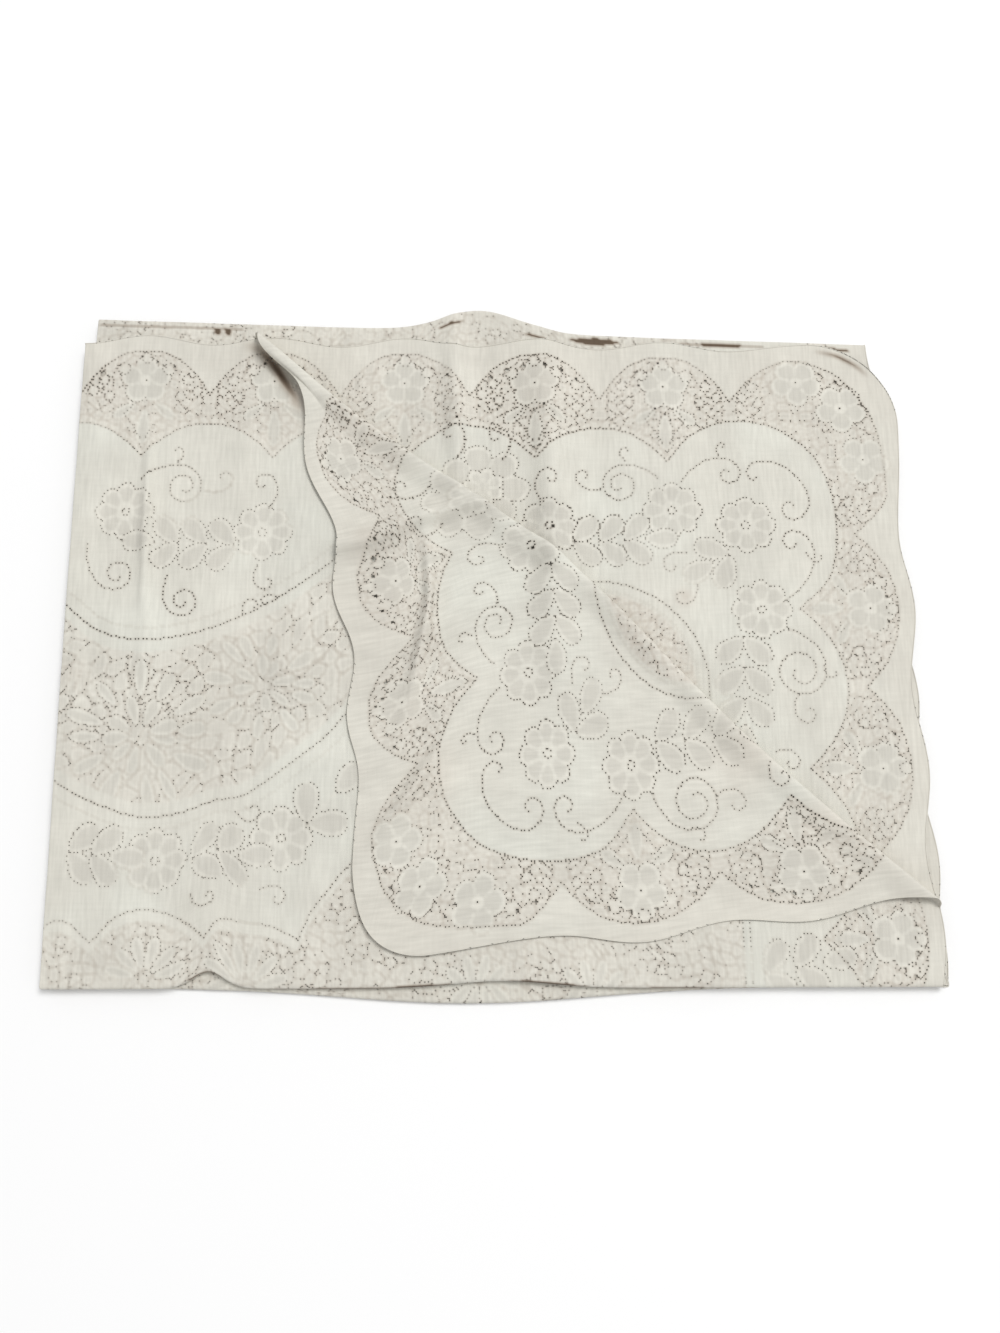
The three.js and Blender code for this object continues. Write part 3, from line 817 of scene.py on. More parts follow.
    def spray(self, start, end, pairs, length):
        """Leaves in pairs along a stem, and one at its end."""
        start, end = np.array([start, end], float)
        way = (end - start) / np.hypot(*(end - start))
        normal = np.array([-way[1], way[0]])
        for pair in range(pairs):
            base = start + (end - start) * (pair / pairs)
            for side in (-1, 1):
                tip = base + length * (SPRAY["ahead"] * way + SPRAY["aside"] * side * normal)
                self.leaf(base + SPRAY["apart"] * side * normal, tip, length * SPRAY["width"], "leaf")
        last = end + way * length * SPRAY["end_length"]
        self.leaf(end - way * SPRAY["end_back"], last, length * SPRAY["end_width"], "leaf")
        self.thread([start, end], *STEM_THREAD)

    def scroll(self, start, eye, turns, curl):
        """A dotted line that curls in on an eye, with a light thread beside it."""
        start, eye = np.array([start, eye], float)
        reach = np.hypot(*(start - eye))
        share = np.linspace(0, 1, SCROLL["steps"])
        swept = 360 * abs(turns) * share
        angle = np.arctan2(start[1] - eye[1], start[0] - eye[0]) + np.radians(swept) * np.sign(turns)
        radius = curl * (1 - SCROLL["closes"] * share ** SCROLL["late"])
        radius = radius + (reach - curl) * np.exp(-swept / SCROLL["opens_over"])
        line = eye + radius[:, None] * np.stack([np.cos(angle), np.sin(angle)], 1)
        self.thread(beside(line, SCROLL_BESIDE * np.sign(turns)), *SCROLL_THREAD)
        self.line(line, "scroll")

    def ring(self, a, b, radius):
        self.disc(a, b, radius * RING["disc"], RING_DISC)
        self.dotted(around(a, b, radius, RING["steps"]), "ring", RING["pitch"])


def arcs(first, pitch, span, depths, sharp):
    """A row of arcs between cusps, as places along the hem and depths."""
    start, end = span
    places = first + pitch * np.linspace(start, end, int((end - start) * ARC_STEPS) + 1)
    share = np.abs(((places - first) / pitch + 0.5) % 1 - 0.5) * 2
    return places, blend(*depths, share ** sharp)


def border_lines():
    """The outer and inner contours of the border round a quarter of the cloth, as points a, b."""
    lines = []
    for name, corner, shift, end_span, side_span, sharp in BORDER_LINES:
        end_first = FIRST_FAN_END + PITCH_END * shift
        side_first = FIRST_FAN_SIDE + PITCH_SIDE * shift
        end_a, end_b = arcs(end_first, PITCH_END, end_span, END_BORDER[name], sharp)
        side_b, side_a = arcs(side_first, PITCH_SIDE, side_span, SIDE_BORDER[name], sharp)
        by_end = np.stack([end_a, end_b], 1)[::-1]
        by_side = np.stack([side_a, side_b], 1)
        lines.append(np.concatenate([by_end, smooth_line(corner), by_side]))
    return lines


def inside_line(chart, line):
    """Cells on the field's side of a contour that runs round the corner of the cloth."""
    beyond = [[line[-1, 0], LENGTH], [HALF_WIDTH * 2, LENGTH], [HALF_WIDTH * 2, line[0, 1]]]
    points = np.concatenate([line, beyond])
    inside = np.zeros((len(chart.a), len(chart.b)), bool)
    for (a0, b0), (a1, b1) in zip(points, np.roll(points, -1, axis=0)):
        if b0 == b1:
            continue
        columns = np.flatnonzero((chart.b >= min(b0, b1)) & (chart.b < max(b0, b1)))
        crossing = a0 + (chart.b[columns] - b0) * (a1 - a0) / (b1 - b0)
        inside[:, columns] ^= chart.a[:, None] > crossing[None, :]
    return inside


def scatter(row, column, turn):
    """Values from 0 to 1 without order, the same in every run."""
    by_row, by_column, by_turn = SCATTER_RATES
    return np.abs(SCATTER_SCALE * np.sin(by_row * row + by_column * column + by_turn * turn)) % 1


def leaves_near(s, d, size):
    """Uneven leaves that fill the ground: how far each point is inside its leaf, and its leaf's value."""
    row = np.floor(s / size)
    column = np.floor(d / size)
    nearest = np.full(s.shape, np.inf)
    second = np.full(s.shape, np.inf)
    value = np.zeros(s.shape)
    least, spread = GROUND_JITTER
    for step in (-1, 0, 1):
        for other in (-1, 0, 1):
            i = row + step
            j = column + other
            middle_s = (i + least + spread * scatter(i, j, 0)) * size
            middle_d = (j + least + spread * scatter(i, j, 1)) * size
            distance = np.hypot(s - middle_s, d - middle_d)
            closer = distance < nearest
            second = np.where(closer, nearest, np.minimum(second, distance))
            value = np.where(closer, scatter(i, j, 2), value)
            nearest = np.where(closer, distance, nearest)
    return second - nearest, value


def fill_ground(chart, cells, s, d, ground):
    """Fills cells with small leaves that lie close together, light inside their edges and dotted round."""
    size, warm, dots, thin = ground
    s = np.broadcast_to(s, cells.shape)[cells]
    d = np.broadcast_to(d, cells.shape)[cells]
    rows, columns = np.nonzero(cells)
    bend = GROUND["bend"] * size
    rate_d, rate_s = GROUND["rates"]
    curved_s = s + bend * np.sin(d / size * rate_d)
    curved_d = d + bend * np.sin(s / size * rate_s)
    from_edge, value = leaves_near(curved_s, curved_d, size)
    edge = from_edge < GROUND["edge"]
    light = (from_edge < GROUND["light"]) & ~edge
    # One cell in each block of two by two may be a stitch
    place = np.floor(4 * scatter(rows // 2, columns // 2, 5))
    stitch = edge & (rows % 2 + 2 * (columns % 2) == place)
    least, more = GROUND_DOTS
    strength = dots * (least + more * value) * chart.pull(chart.a[rows], chart.b[columns])
    strength = np.where(stitch, strength, 0.0)
    # Stitches are painted with shade by their strength, the strong ones opened, and soft darker lines
    # outline the leaves
    chart.open[cells] = strength > OPENS_ABOVE
    soft = np.where(from_edge < GROUND["line"], GROUND_LINE * between(value, *LINED_LEAVES), 0.0)
    chart.shade[cells] = np.maximum(np.minimum(strength, 1.0), soft)
    chart.warm[cells] = warm
    chart.sheer[cells] = GROUND["rim_sheer"] + np.where(edge | light, 0.0, thin * value)
    chart.bright[cells] = np.where(light, GROUND["rim_light"], 0.0)


def draw_fan(chart, place, facing, inner):
    """One fan: place turns a distance from its middle and a depth into a, b."""
    if inner:
        for s0, d0, s1, d1, width in FAN_LEAVES:
            chart.leaf(place(s0, d0), place(s1, d1), width, "fan_leaf")
        for side in (-1, 1):
            chart.dotted([place(side * s, d) for s, d in TULIP], "tulip")
        chart.fan_flower(place(0, FAN_FLOWER["depth"]), facing, "fan_flower")
    for s, d, radius in FAN_RINGS:
        for side in (-1, 1):
            chart.ring(*place(side * s, d), radius)
    for s, d in FAN_GAPS:
        for side in (-1, 1):
            chart.gap(*place(side * s, d))


def from_fan(place, first, pitch):
    """Distance along the hem from the middle of the nearest fan."""
    return np.abs((place - first + pitch / 2) % pitch - pitch / 2)


def draw_border(chart, outer, inner):
    """The border's ground, with the same stitches in each fan, and its fans."""
    a, b = chart.grid
    in_outer = inside_line(chart, outer)
    chart.warm[~in_outer] = HEM_WARMTH
    depth_scale = SIDE_BORDER["inner"][1] / END_BORDER["inner"][1]
    pitch_scale = PITCH_SIDE / PITCH_END
    by_end = b < a
    side_s = from_fan(b, FIRST_FAN_SIDE, PITCH_SIDE) / pitch_scale
    s = np.where(by_end, from_fan(a, FIRST_FAN_END, PITCH_END), side_s)
    d = np.where(by_end, b, a / depth_scale)
    fill_ground(chart, in_outer & ~inside_line(chart, inner), s, d, BORDER_GROUND)
    chart.thread(beside(inner, SECOND_LINE / 2), *INNER_THREAD)
    for fan in range(ceil(FANS_ACROSS)):
        middle_a = FIRST_FAN_END + fan * PITCH_END
        draw_fan(chart, lambda s, d: np.array([middle_a + s, d]), -pi / 2, fan > 0)
    for fan in range(ceil(FANS_ALONG)):
        middle_b = FIRST_FAN_SIDE + fan * PITCH_SIDE
        draw_fan(chart, lambda s, d: np.array([d * depth_scale, middle_b + s * pitch_scale]), pi, fan > 0)
    for centre in CORNER_FLOWERS:
        chart.fan_flower(np.array(centre), CORNER_FACING, "corner_flower")


def line_depth(line, a):
    order = np.argsort(line[:, 0])
    return np.interp(a, line[order, 0], line[order, 1])[:, None]


def draw_panels(chart):
    """The grounds of the panels in the field, and their faint leaves and flowers."""
    a, b = chart.grid
    upper, lower = [points for points, _ in CONTOURS[:2]]
    beyond = np.where(a > upper[-1][0], 0, LENGTH)
    top = line_depth(smooth_line(upper), chart.a) + PANEL_BAND + beyond
    panel = (b > top) & (b < line_depth(smooth_line(lower), chart.a) - PANEL_BAND)
    along = (a * np.cos(PANEL_SLANT) + b * np.sin(PANEL_SLANT)) / PANEL_STRETCH
    fill_ground(chart, panel, along, b * np.cos(PANEL_SLANT) - a * np.sin(PANEL_SLANT), LONG_GROUND)
    layers = (*chart.layers(), chart.open)
    before = [values.copy() for values in layers]
    for middle_a, middle_b, first, last, leaves, width in PANEL_RINGS:
        for leaf in range(leaves):
            angle = 2 * pi * (leaf + RING_LEAVES["turn"] * scatter(leaf, first, 1)) / leaves + first
            length = RING_LEAVES["length"] + RING_LEAVES["longer"] * scatter(leaf, last, 2)
            wide = RING_LEAVES["width"] + RING_LEAVES["wider"] * scatter(leaf, last, 3)
            reach = first + (last - first) * length
            middle = np.array([middle_a, middle_b])
            chart.ray(middle, angle, first, reach, width * wide, "ring_leaf", RING_LEAVES["line"])
    for values, kept in zip(layers, before):
        values[~panel] = kept[~panel]
    round_a, round_b, radius, second = ROUND_PANEL
    in_round = np.hypot(a - round_a, b - round_b) < radius - second - ROUND_MARGIN
    fill_ground(chart, in_round, a, b, ROUND_GROUND)
    arcs_line = np.concatenate([smooth_line(points) for points in PANEL_ARCS])
    middle = (b > line_depth(arcs_line, chart.a) + PANEL_SECOND) & (a > PANEL_SIDE["at"])
    fill_ground(chart, middle, a, b, MIDDLE_GROUND)
    for middle_a, middle_b, first, last, leaves, width in PALMETTES:
        for leaf in range(leaves):
            angle = -pi * (leaf + 0.5) / leaves
            chart.ray(np.array([middle_a, middle_b]), angle, first, last, width, "palmette")
    for flower_a, flower_b, reach, petals in FAINT_FLOWERS:
        for share, lobes, facing in FAINT_PETALS:
            chart.petals(flower_a, flower_b, reach * share, petals, lobes, facing, "faint_flower")


def has_mirror(a, b):
    return GROUP_FROM < a < GROUP_MIDDLE and b < GROUP_DEPTH


def mirrored(a, b):
    """The place of a field motif on the other side of its group of fans."""
    return MIRROR_TO + MIRROR_STRETCH * (MIRROR_FROM - a), b + MIRROR_DROP


def draw_field(chart):
    """The flowers, sprays and scrolls of the field."""
    for a, b, reach, petals in FLOWERS:
        chart.flower(a, b, reach, petals)
        if has_mirror(a, b):
            chart.flower(*mirrored(a, b), reach, petals)
    for a, b, end_a, end_b, pairs, length in SPRAYS:
        chart.spray((a, b), (end_a, end_b), pairs, length)
        if has_mirror(a, b):
            chart.spray(mirrored(a, b), mirrored(end_a, end_b), pairs, length)
    for a, b, eye_a, eye_b, turns, curl in SCROLLS:
        chart.scroll((a, b), (eye_a, eye_b), turns, curl)
        if has_mirror(a, b):
            chart.scroll(mirrored(a, b), mirrored(eye_a, eye_b), -turns, curl)


def draw_contours(chart, outer, inner):
    chart.line(outer, "outer")
    chart.double_line(inner, beside(inner, SECOND_LINE), "inner")
    for points, second_line in CONTOURS:
        line = smooth_line(points)
        chart.double_line(line, beside(line, second_line), "contour")
    *middle, radius, second = ROUND_PANEL
    chart.double_line(around(*middle, radius), around(*middle, radius - second), "round")
    for points in PANEL_ARCS:
        line = smooth_line(points)
        chart.double_line(line, line + [0, PANEL_SECOND], "arc")
        chart.thread(line + [0, PANEL_SECOND / 2], *PANEL_THREAD)
    for side in (PANEL_SIDE["at"], PANEL_SIDE["second"]):
        chart.dotted([(side, PANEL_SIDE["from_b"]), (side, PANEL_SIDE["to_b"])], "side")


def draw_lace(chart):
    outer, inner = border_lines()
    draw_border(chart, outer, inner)
    draw_panels(chart)
    draw_field(chart)
    draw_contours(chart, outer, inner)
    a, b = chart.grid
    # Stains and patches of painted shade warm and darken the cloth
    for side, patch_a, patch_b, radius, warmth, darkness in STAINS_AND_SHADE:
        if side == chart.side:
            patch = hump(np.hypot(a - patch_a, b - patch_b), radius)
            chart.warm[:] = np.maximum(chart.warm, warmth * patch)
            chart.shade[:] = np.maximum(chart.shade, darkness * patch)
    if chart.side > 0:
        tip = (beyond_crease(HALF_WIDTH - a, b) > 0) & (a > PLAIN_TIP) & (b < TOP_RUN)
        chart.fill(slice(None), tip, PLAIN_CLOTH)


def flat_lines():
    """Lines of the flat mesh across and along, closer together in the folds."""
    half = np.concatenate([
        np.linspace(0, HAIRPIN_HALF, FOLD_LINES),
        np.arange(HAIRPIN_HALF + CELL, HALF_WIDTH + 2 * SCALLOP_DEPTH, CELL),
    ])
    along = np.arange(-2 * SCALLOP_DEPTH, LENGTH + 2 * SCALLOP_DEPTH, CELL)
    for start in TURNS:
        clear = (along < start - CELL / 3) | (along > start + TURN_LENGTH + CELL / 3)
        along = np.union1d(along[clear], np.linspace(start, start + TURN_LENGTH, TURN_LINES))
    return half, along


HALF_LINES, LINES_V = flat_lines()
LINES_U = np.concatenate([-HALF_LINES[:0:-1], HALF_LINES])
MID_U = (LINES_U[1:] + LINES_U[:-1]) / 2
MID_V = (LINES_V[1:] + LINES_V[:-1]) / 2

CHARTS = [Chart(side, HALF_WIDTH - (HALF_LINES[1:] + HALF_LINES[:-1]) / 2, MID_V) for side in (-1, 1)]
for chart in CHARTS:
    draw_lace(chart)


def whole(halves):
    below, above = halves
    return np.concatenate([below[::-1], above])


# The whole cloth, with an open or close cell and the values sheer, warm, bright and shade of each
CELL_U, CELL_V = np.meshgrid(MID_U, MID_V, indexing="ij")
HEM_DEPTH = hem_depth(CELL_U, CELL_V)
INSIDE = HEM_DEPTH > 0
OPEN = whole([chart.open for chart in CHARTS]) & (HEM_DEPTH >= CLOSE_HEM)
CHANNELS = np.stack([whole(halves) for halves in zip(*[chart.layers() for chart in CHARTS])], 2)
SHADE = 3
CHANNELS[HEM_DEPTH < CLOSE_HEM, SHADE] = 0


def darken_folds():
    """Painted shade: dark slits along the folds, where the layers part, and shadows where the cloth stands
    off.
    """
    for side, turn, x0, x1, inset, half_width in SLIT_SHADOWS:
        along = (side * CELL_U + LEFT_FOLD - (x0 + x1) / 2) / ((x1 - x0) / 2)
        across = (CELL_V - TURNS[turn] + inset) / half_width
        lens = (np.abs(along) < 1) & (np.abs(across) < 1 - along ** 2)
        # Painted shadow: the slit stays closed and its cells are painted dark
        OPEN[lens] = False
        CHANNELS[lens, SHADE] = SLIT_SHADE
    # Painted shadows along the edges, strongest in the middle of each
    for side, half_width, strength, points in EDGE_SHADOWS:
        edge = evenly(smooth_line(points), CELL)
        for step, (a, b) in enumerate(edge):
            u = side * (HALF_WIDTH - a)
            rows = np.flatnonzero(np.abs(MID_U - u) < EDGE_REACH * half_width)
            columns = np.flatnonzero(np.abs(MID_V - b) < EDGE_REACH * half_width)
            cells = np.ix_(rows, columns, [SHADE])
            away = np.hypot(MID_U[rows][:, None] - u, MID_V[columns][None, :] - b)
            taper = np.sin(pi * (step + 0.5) / len(edge)) ** EDGE_TAPER
            dark = strength * taper * hump(away, half_width)
            CHANNELS[cells] = np.maximum(CHANNELS[cells], dark[:, :, None])


darken_folds()

# The pieces of the cloth. The turned-back corner starts a strip before its crease.
HIDDEN_STRIP = 20.0
BEYOND = beyond_crease(CELL_U, CELL_V)
ON_TOP = CELL_V < TOP_RUN + TURN_LENGTH
TURNED = ON_TOP & (CELL_U > 0) & (BEYOND > -HIDDEN_STRIP) & (CELL_V < TOP_RUN)
UPPER = ON_TOP & (CELL_U > -HAIRPIN_HALF) & ~TURNED
SECOND = ON_TOP & ~UPPER & ~TURNED
PIECES = {"turned_corner": TURNED, "upper_panel": UPPER, "second_panel": SECOND, "lower_runs": ~ON_TOP}

# How far the panels show: the upper one to this depth beneath the turned-back corner and round the left
# fold, the second one to this distance before the crease
COVER = 48.0
LEFT_FOLD_SHOWS = 8.0
SECOND_SHOWS = 18.0
# Where each turn shows: side of the middle line, distance before the turn's middle and reach
TURN_SHOWS = [(1, 0, 14), (-1, 16, 20), (1, 6, 10)]


def under_corner():
    """Cells that the turned-back corner covers, well inside its hem."""
    u = CELL_U - 2 * np.minimum(BEYOND, 0) * CREASE_NORMAL[0]
    v = CELL_V - 2 * np.minimum(BEYOND, 0) * CREASE_NORMAL[1]
    return (hem_depth(u, v) > COVER) & (v < TOP_RUN)


def at_turn(turn):
    side, distance, reach = TURN_SHOWS[turn]
    before = TURNS[turn] + TURN_LENGTH / 2 - CELL_V
    return (side * CELL_U > 0) & (np.abs(before - distance) < reach)


SHOWN = {
    "turned_corner": TURNED,
    "upper_panel": ~under_corner() | (np.abs(CELL_U) < LEFT_FOLD_SHOWS) | at_turn(0),
    "second_panel": beyond_crease(np.abs(CELL_U), CELL_V) > -SECOND_SHOWS,
    "lower_runs": at_turn(1) | at_turn(2),
}
OPEN &= np.any([cells & SHOWN[name] for name, cells in PIECES.items()], axis=0)


def at_corners(values):
    """Values of cells averaged at the corners of the mesh."""
    padded = np.pad(values, [(1, 1), (1, 1), (0, 0)], mode="edge")
    return (padded[1:, 1:] + padded[:-1, 1:] + padded[1:, :-1] + padded[:-1, :-1]) / 4


POINT_CHANNELS = at_corners(CHANNELS)

# Flat places of the mesh's points, with those at the edge drawn onto the scalloped outline
POINT_U, POINT_V = np.meshgrid(LINES_U, LINES_V, indexing="ij")


def inward(u, v):
    """Direction into the cloth from its edge."""
    step = 0.5
    way_u = hem_depth(u + step, v) - hem_depth(u - step, v)
    way_v = hem_depth(u, v + step) - hem_depth(u, v - step)
    size = np.maximum(np.hypot(way_u, way_v), 1e-6)
    return way_u / size, way_v / size


def snap_to_edge():
    """Draws the points between inner and outer cells onto the outline, in a few steps."""
    inside = np.pad(INSIDE, 1)
    touching = np.stack([inside[1:, 1:], inside[:-1, 1:], inside[1:, :-1], inside[:-1, :-1]])
    rim = touching.any(0) & ~touching.all(0)
    for _ in range(3):
        u = POINT_U[rim]
        v = POINT_V[rim]
        depth = hem_depth(u, v)
        way_u, way_v = inward(u, v)
        POINT_U[rim] = u - depth * way_u
        POINT_V[rim] = v - depth * way_v


snap_to_edge()


def narrow_openings():
    """Makes openings as small as their dots are weak."""
    strength = CHANNELS[:, :, SHADE]
    size = SMALLEST_OPENING + (1 - SMALLEST_OPENING) * between(strength, OPENS_ABOVE, 1.0)
    narrowed = np.where(OPEN, 1 - size, 0.0)
    for points, middle in ((POINT_U, CELL_U), (POINT_V, CELL_V)):
        shift = np.zeros(points.shape)
        for row in (0, 1):
            for column in (0, 1):
                corner = (slice(row, row + OPEN.shape[0]), slice(column, column + OPEN.shape[1]))
                shift[corner] += narrowed * (middle - points[corner])
        points += shift


narrow_openings()

COLUMNS = len(LINES_V)


def cell_corners(cells):
    rows, columns = np.nonzero(cells)
    first = rows * COLUMNS + columns
    return np.stack([first, first + COLUMNS, first + COLUMNS + 1, first + 1], 1)


def whole_blocks(cells, tall, wide):
    """Blocks of cells that all belong to a mask."""
    rows = cells.shape[0] // tall
    columns = cells.shape[1] // wide
    return cells[:rows * tall, :columns * wide].reshape(rows, tall, columns, wide).all(axis=(1, 3))


def in_blocks(cells, tall, wide):
    """Cells that are in such blocks."""
    merged = np.zeros(cells.shape, bool)
    blocks = whole_blocks(cells, tall, wide).repeat(tall, 0).repeat(wide, 1)
    merged[:blocks.shape[0], :blocks.shape[1]] = blocks
    return merged


def make_tiles(cells, fine_points, tall, wide):
    """Cells where nothing shows, merged into tiles that keep the points of their finer neighbours."""
    tiles = []
    for row, column in zip(*np.nonzero(whole_blocks(cells, tall, wide))):
        first = row * tall * COLUMNS + column * wide
        last = first + tall * COLUMNS + wide
        near = [first + step * COLUMNS for step in range(tall)]
        right = [first + tall * COLUMNS + step for step in range(wide)]
        far = [last - step * COLUMNS for step in range(tall)]
        left = [first + wide - step for step in range(wide)]
        tile = [point for side in (near, right, far, left) for step, point in enumerate(side)
                if step == 0 or fine_points[point]]
        tiles.append(tile)
    return tiles


# Blocks in the folds, where tiles are long and narrow
FOLD_MARGIN = 1.0
IN_TURNS = np.zeros(CELL_U.shape, bool)
for start in TURNS:
    IN_TURNS |= (CELL_V > start - FOLD_MARGIN) & (CELL_V < start + TURN_LENGTH + FOLD_MARGIN)
IN_TURNS = ~in_blocks(~IN_TURNS, TILE, TILE)
IN_HAIRPIN = ~in_blocks(np.abs(CELL_U) >= HAIRPIN_HALF + FOLD_MARGIN, TILE, TILE)


def sheet_faces(cells, shown):
    """Faces of a piece: cells where it shows or no tile fits, and tiles elsewhere."""
    fine = cells & INSIDE & ~OPEN
    plain = fine & ~shown
    tile_shapes = [
        (plain & ~IN_TURNS & ~IN_HAIRPIN, TILE, TILE),
        (plain & IN_TURNS & ~IN_HAIRPIN, TILE, 1),
        (plain & IN_HAIRPIN & ~IN_TURNS, 1, TILE),
    ]
    for tiled, tall, wide in tile_shapes:
        fine = fine & ~in_blocks(tiled, tall, wide)
    quads = cell_corners(fine)
    fine_points = np.zeros(POINT_U.size, bool)
    fine_points[quads] = True
    tiles = []
    for tiled, tall, wide in tile_shapes:
        tiles += make_tiles(tiled, fine_points, tall, wide)
    return quads.tolist() + tiles


def hem_edges(cells):
    """Edges of the cells that lie on the hem."""
    edges = []
    rows, columns = np.nonzero(cells & INSIDE)
    first = rows * COLUMNS + columns
    outside = np.pad(~INSIDE, 1, constant_values=True)
    sides = [(0, 1, 0, 1), (2, 1, COLUMNS, COLUMNS + 1), (1, 0, 0, COLUMNS), (1, 2, 1, COLUMNS + 1)]
    for row, column, start, end in sides:
        bare = outside[rows + row, columns + column]
        edges.append(np.stack([first[bare] + start, first[bare] + end], 1))
    return np.concatenate(edges)


def hem_cord(cells):
    """The cord in the hem of a piece: its flat places, its folded places and its faces."""
    rim, edge_ends = np.unique(hem_edges(cells), return_inverse=True)
    starts, ends = edge_ends.reshape(-1, 2).T
    rim_u = POINT_U.ravel()[rim]
    rim_v = POINT_V.ravel()[rim]
    way_u, way_v = inward(rim_u, rim_v)
    flat = []
    places = []
    faces = []
    for side in range(CORD_SIDES):
        angle = 2 * pi * side / CORD_SIDES
        shift = HEM_CORD * np.cos(angle)
        cord_u = rim_u + shift * way_u
        cord_v = rim_v + shift * way_v
        flat.append(np.stack([cord_u, cord_v], 1))
        places.append(folded(cord_u, cord_v, HEM_CORD * np.sin(angle)))
        here = side * len(rim)
        there = (side + 1) % CORD_SIDES * len(rim)
        faces.append(np.stack([here + starts, here + ends, there + ends, there + starts], 1))
    return np.concatenate(flat), np.concatenate(places), np.concatenate(faces)


def add_object(name, data):
    thing = bpy.data.objects.new(name, data)
    bpy.context.scene.collection.objects.link(thing)
    return thing


def make_piece(name, cells, shown):
    sheet = sheet_faces(cells, shown)
    used = np.zeros(POINT_U.size, bool)
    used[np.concatenate(sheet)] = True
    number = np.cumsum(used) - 1
    flat_u = POINT_U.ravel()[used]
    flat_v = POINT_V.ravel()[used]
    cord_flat, cord_places, cord_faces = hem_cord(cells)
    flat = np.concatenate([np.stack([flat_u, flat_v], 1), cord_flat])
    cord_colours = np.tile(CORD_CLOTH, (len(cord_flat), 1))
    colours = np.concatenate([POINT_CHANNELS.reshape(-1, 4)[used], cord_colours])
    faces = [number[face].tolist() for face in sheet] + (len(flat_u) + cord_faces).tolist()

    mesh = bpy.data.meshes.new(name)
    mesh.from_pydata(np.concatenate([folded(flat_u, flat_v), cord_places]), [], faces)
    mesh.polygons.foreach_set("use_smooth", np.ones(len(mesh.polygons), bool))
    layer = mesh.attributes.new("chart", "FLOAT_COLOR", "POINT")
    layer.data.foreach_set("color", colours.astype(np.float32).ravel())
    corners = np.zeros(len(mesh.loops), np.int32)
    mesh.loops.foreach_get("vertex_index", corners)
    unit = np.stack([(flat[:, 0] + HALF_WIDTH) / (2 * HALF_WIDTH), flat[:, 1] / LENGTH], 1)
    uv = mesh.uv_layers.new(name="flat")
    uv.data.foreach_set("uv", unit[corners].astype(np.float32).ravel())
    mesh.validate()
    return add_object(name, mesh)


# Noise over the cloth, as waves across, waves along and detail: clouds, blotches, streaks and the threads
CLOUDS = (13, 20, 3)
BLOTCHES = (26, 40, 3)
STREAKS = (44, 9, 2)
THREADS_ACROSS = (60, 900, 2)
THREADS_ALONG = (560, 90, 2)
# The spans of the noise over which it varies the cloth and its clouds grow, and of the shade that deepens
NOISE_SPAN = (0.3, 0.7)
CLOUD_SPAN = (0.46, 0.64)
DEEP_SPAN = (0.6, 1.0)

# Colours of the lace, with the shadow colours of its painted shade
FIELD = (0.668, 0.650, 0.580, 1)
# Sheer parts are painted greyer, as shade for the shadow seen through their open weave
SHEER_SHADE = (0.572, 0.550, 0.490, 1)
COOL = (0.674, 0.667, 0.598, 1)
WARM = (0.650, 0.612, 0.542, 1)
THREAD = (0.715, 0.692, 0.618, 1)
SHADOW = (0.275, 0.212, 0.158, 1)
DEEP = (0.095, 0.066, 0.043, 1)


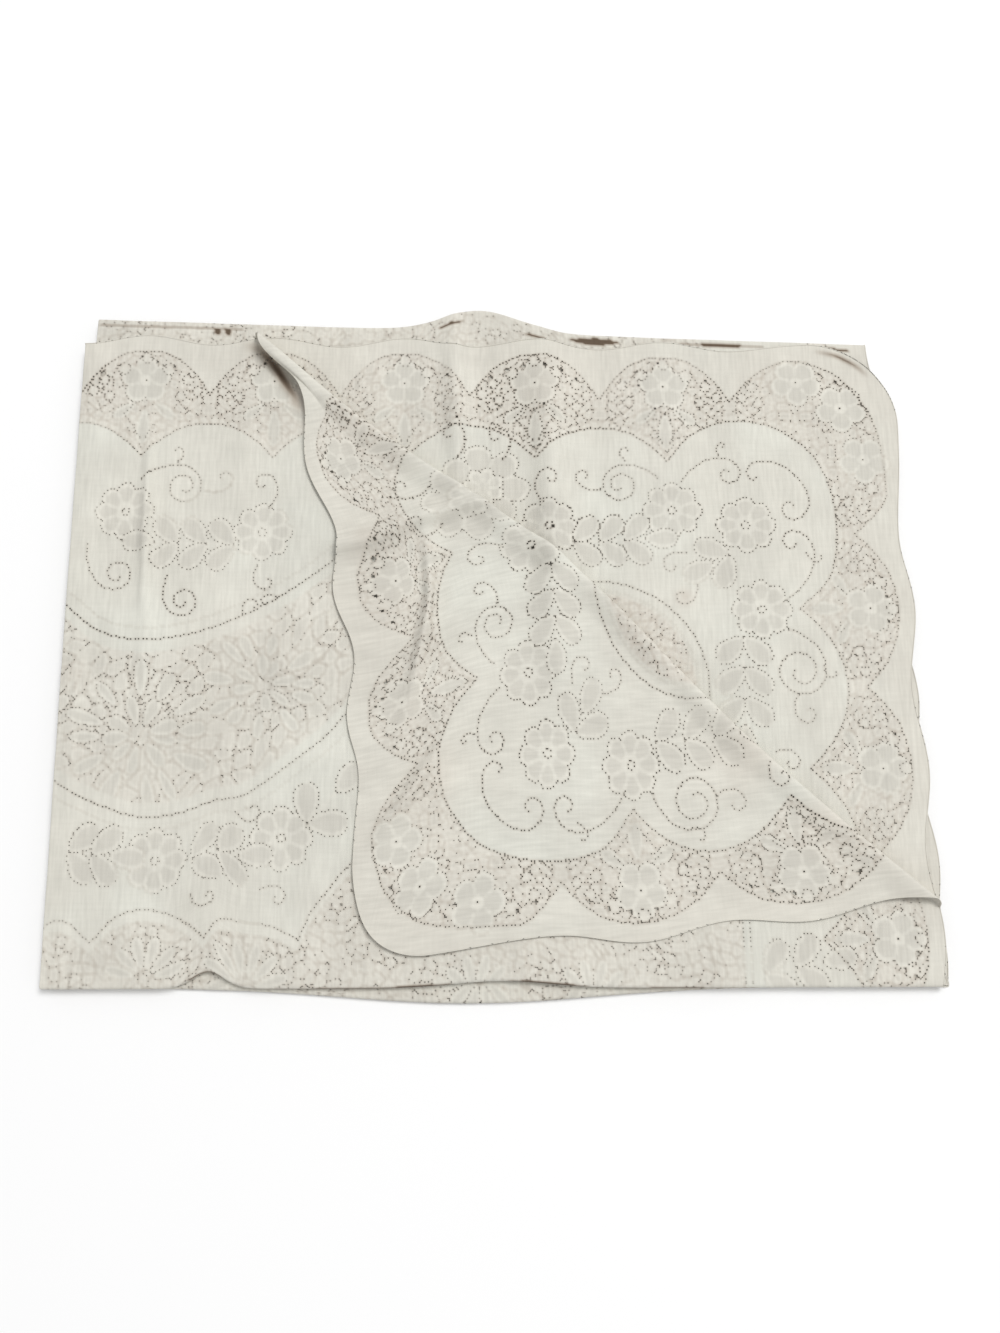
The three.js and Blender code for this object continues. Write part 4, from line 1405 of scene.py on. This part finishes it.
def lace_material():
    material = bpy.data.materials.new("ivory lace")
    material.use_nodes = True
    nodes = material.node_tree.nodes
    links = material.node_tree.links
    shader = nodes["Principled BSDF"]
    surface = {"Roughness": 0.95, "Specular IOR Level": 0.2, "Sheen Weight": 0.15, "Sheen Roughness": 0.5}
    for socket, value in surface.items():
        shader.inputs[socket].default_value = value

    values = nodes.new("ShaderNodeAttribute")
    values.attribute_name = "chart"
    parts = nodes.new("ShaderNodeSeparateColor")
    links.new(values.outputs["Color"], parts.inputs["Color"])

    def mix(factor, first, second, kind="MIX"):
        node = nodes.new("ShaderNodeMix")
        node.data_type = "RGBA"
        node.blend_type = kind
        for socket, value in (("Factor", factor), ("A", first), ("B", second)):
            target = next(item for item in node.inputs if item.name == socket and item.enabled)
            if isinstance(value, bpy.types.NodeSocket):
                links.new(value, target)
            else:
                target.default_value = value
        return next(item for item in node.outputs if item.enabled)

    place = nodes.new("ShaderNodeUVMap")
    place.uv_map = "flat"

    def noise(scale_u, scale_v, detail):
        stretch = nodes.new("ShaderNodeMapping")
        stretch.inputs["Scale"].default_value = (scale_u, scale_v, 1)
        links.new(place.outputs["UV"], stretch.inputs["Vector"])
        node = nodes.new("ShaderNodeTexNoise")
        node.inputs["Scale"].default_value = 1.0
        node.inputs["Detail"].default_value = detail
        links.new(stretch.outputs["Vector"], node.inputs["Vector"])
        return node.outputs["Fac"]

    def remap(value, span, to_span=(0.0, 1.0)):
        node = nodes.new("ShaderNodeMapRange")
        for socket, limit in zip(("From Min", "From Max", "To Min", "To Max"), (*span, *to_span)):
            node.inputs[socket].default_value = limit
        links.new(value, node.inputs["Value"])
        return node.outputs["Result"]

    def vary(colour, amount, low, high):
        return mix(1.0, colour, remap(amount, NOISE_SPAN, (low, high)), "MULTIPLY")

    colour = mix(remap(noise(*CLOUDS), CLOUD_SPAN), FIELD, COOL)
    colour = mix(parts.outputs["Green"], colour, WARM)
    colour = mix(parts.outputs["Red"], colour, SHEER_SHADE)
    colour = mix(parts.outputs["Blue"], colour, THREAD)
    # Painted shade: the chart's shade value mixes the cloth towards the shadow colours, deepest at its top
    colour = mix(values.outputs["Alpha"], colour, SHADOW)
    colour = mix(remap(values.outputs["Alpha"], DEEP_SPAN), colour, DEEP)
    across = noise(*THREADS_ACROSS)
    along = noise(*THREADS_ALONG)
    colour = vary(colour, along, low=0.935, high=1.045)
    colour = vary(colour, across, low=0.98, high=1.015)
    colour = vary(colour, noise(*BLOTCHES), low=0.94, high=1.04)
    colour = vary(colour, noise(*STREAKS), low=0.96, high=1.03)
    links.new(colour, shader.inputs["Base Color"])

    threads = nodes.new("ShaderNodeMath")
    threads.operation = "ADD"
    links.new(across, threads.inputs[0])
    links.new(along, threads.inputs[1])
    bump = nodes.new("ShaderNodeBump")
    bump.inputs["Strength"].default_value = 0.25
    bump.inputs["Distance"].default_value = 0.0006
    links.new(threads.outputs["Value"], bump.inputs["Height"])
    links.new(bump.outputs["Normal"], shader.inputs["Normal"])
    return material


lace = lace_material()
for name, cells in PIECES.items():
    piece = make_piece(name, cells, SHOWN[name])
    piece.data.materials.append(lace)
    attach(piece, "root")
    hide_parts("tablecloth")


def make_floor():
    half = 6.0
    mesh = bpy.data.meshes.new("floor")
    corners = [(-half, -half, 0), (half, -half, 0), (half, half, 0), (-half, half, 0)]
    mesh.from_pydata(corners, [], [(0, 1, 2, 3)])
    floor = add_object("floor", mesh)
    material = bpy.data.materials.new("white floor")
    material.use_nodes = True
    shader = material.node_tree.nodes["Principled BSDF"]
    shader.inputs["Base Color"].default_value = (0.92, 0.92, 0.92, 1)
    shader.inputs["Roughness"].default_value = 0.9
    floor.data.materials.append(material)
    return floor


floor = make_floor()


# Camera, aimed at a point of the surface beneath the cloth
AIM = (14.2, -17.6)
DISTANCE = 917.9
TILT = np.radians(77.69)
LONG_SIDE = 1333.0
FOCAL_PIXELS = 1000.0

camera = bpy.data.cameras.new("camera")
camera.sensor_width = 36.0
camera.lens = camera.sensor_width * FOCAL_PIXELS / LONG_SIDE
camera.clip_start = 0.01
eye = add_object("camera", camera)
eye.location = (
    (AIM[0] - BOX_MIDDLE[0]) * MM,
    (AIM[1] - BOX_MIDDLE[1] - DISTANCE * np.cos(TILT)) * MM,
    DISTANCE * np.sin(TILT) * MM,
)
eye.rotation_euler = (pi / 2 - TILT, 0, 0)
bpy.context.scene.camera = eye
bpy.context.scene.view_settings.view_transform = "Standard"


def soft_light(name, place, size, power):
    light = bpy.data.lights.new(name, "AREA")
    light.energy = power
    light.size = size
    lamp = add_object(name, light)
    lamp.location = place
    away = -lamp.location
    lamp.rotation_euler = away.to_track_quat("-Z", "Y").to_euler()


soft_light("key", place=(3.25, 2.75, 8.25), size=3.5, power=543)
world = bpy.data.worlds.new("studio")
world.use_nodes = True
sky = world.node_tree.nodes["Background"]
sky.inputs["Color"].default_value = (1, 1, 1, 1)
sky.inputs["Strength"].default_value = 0.57
bpy.context.scene.world = world

bpy.context.view_layer.update()
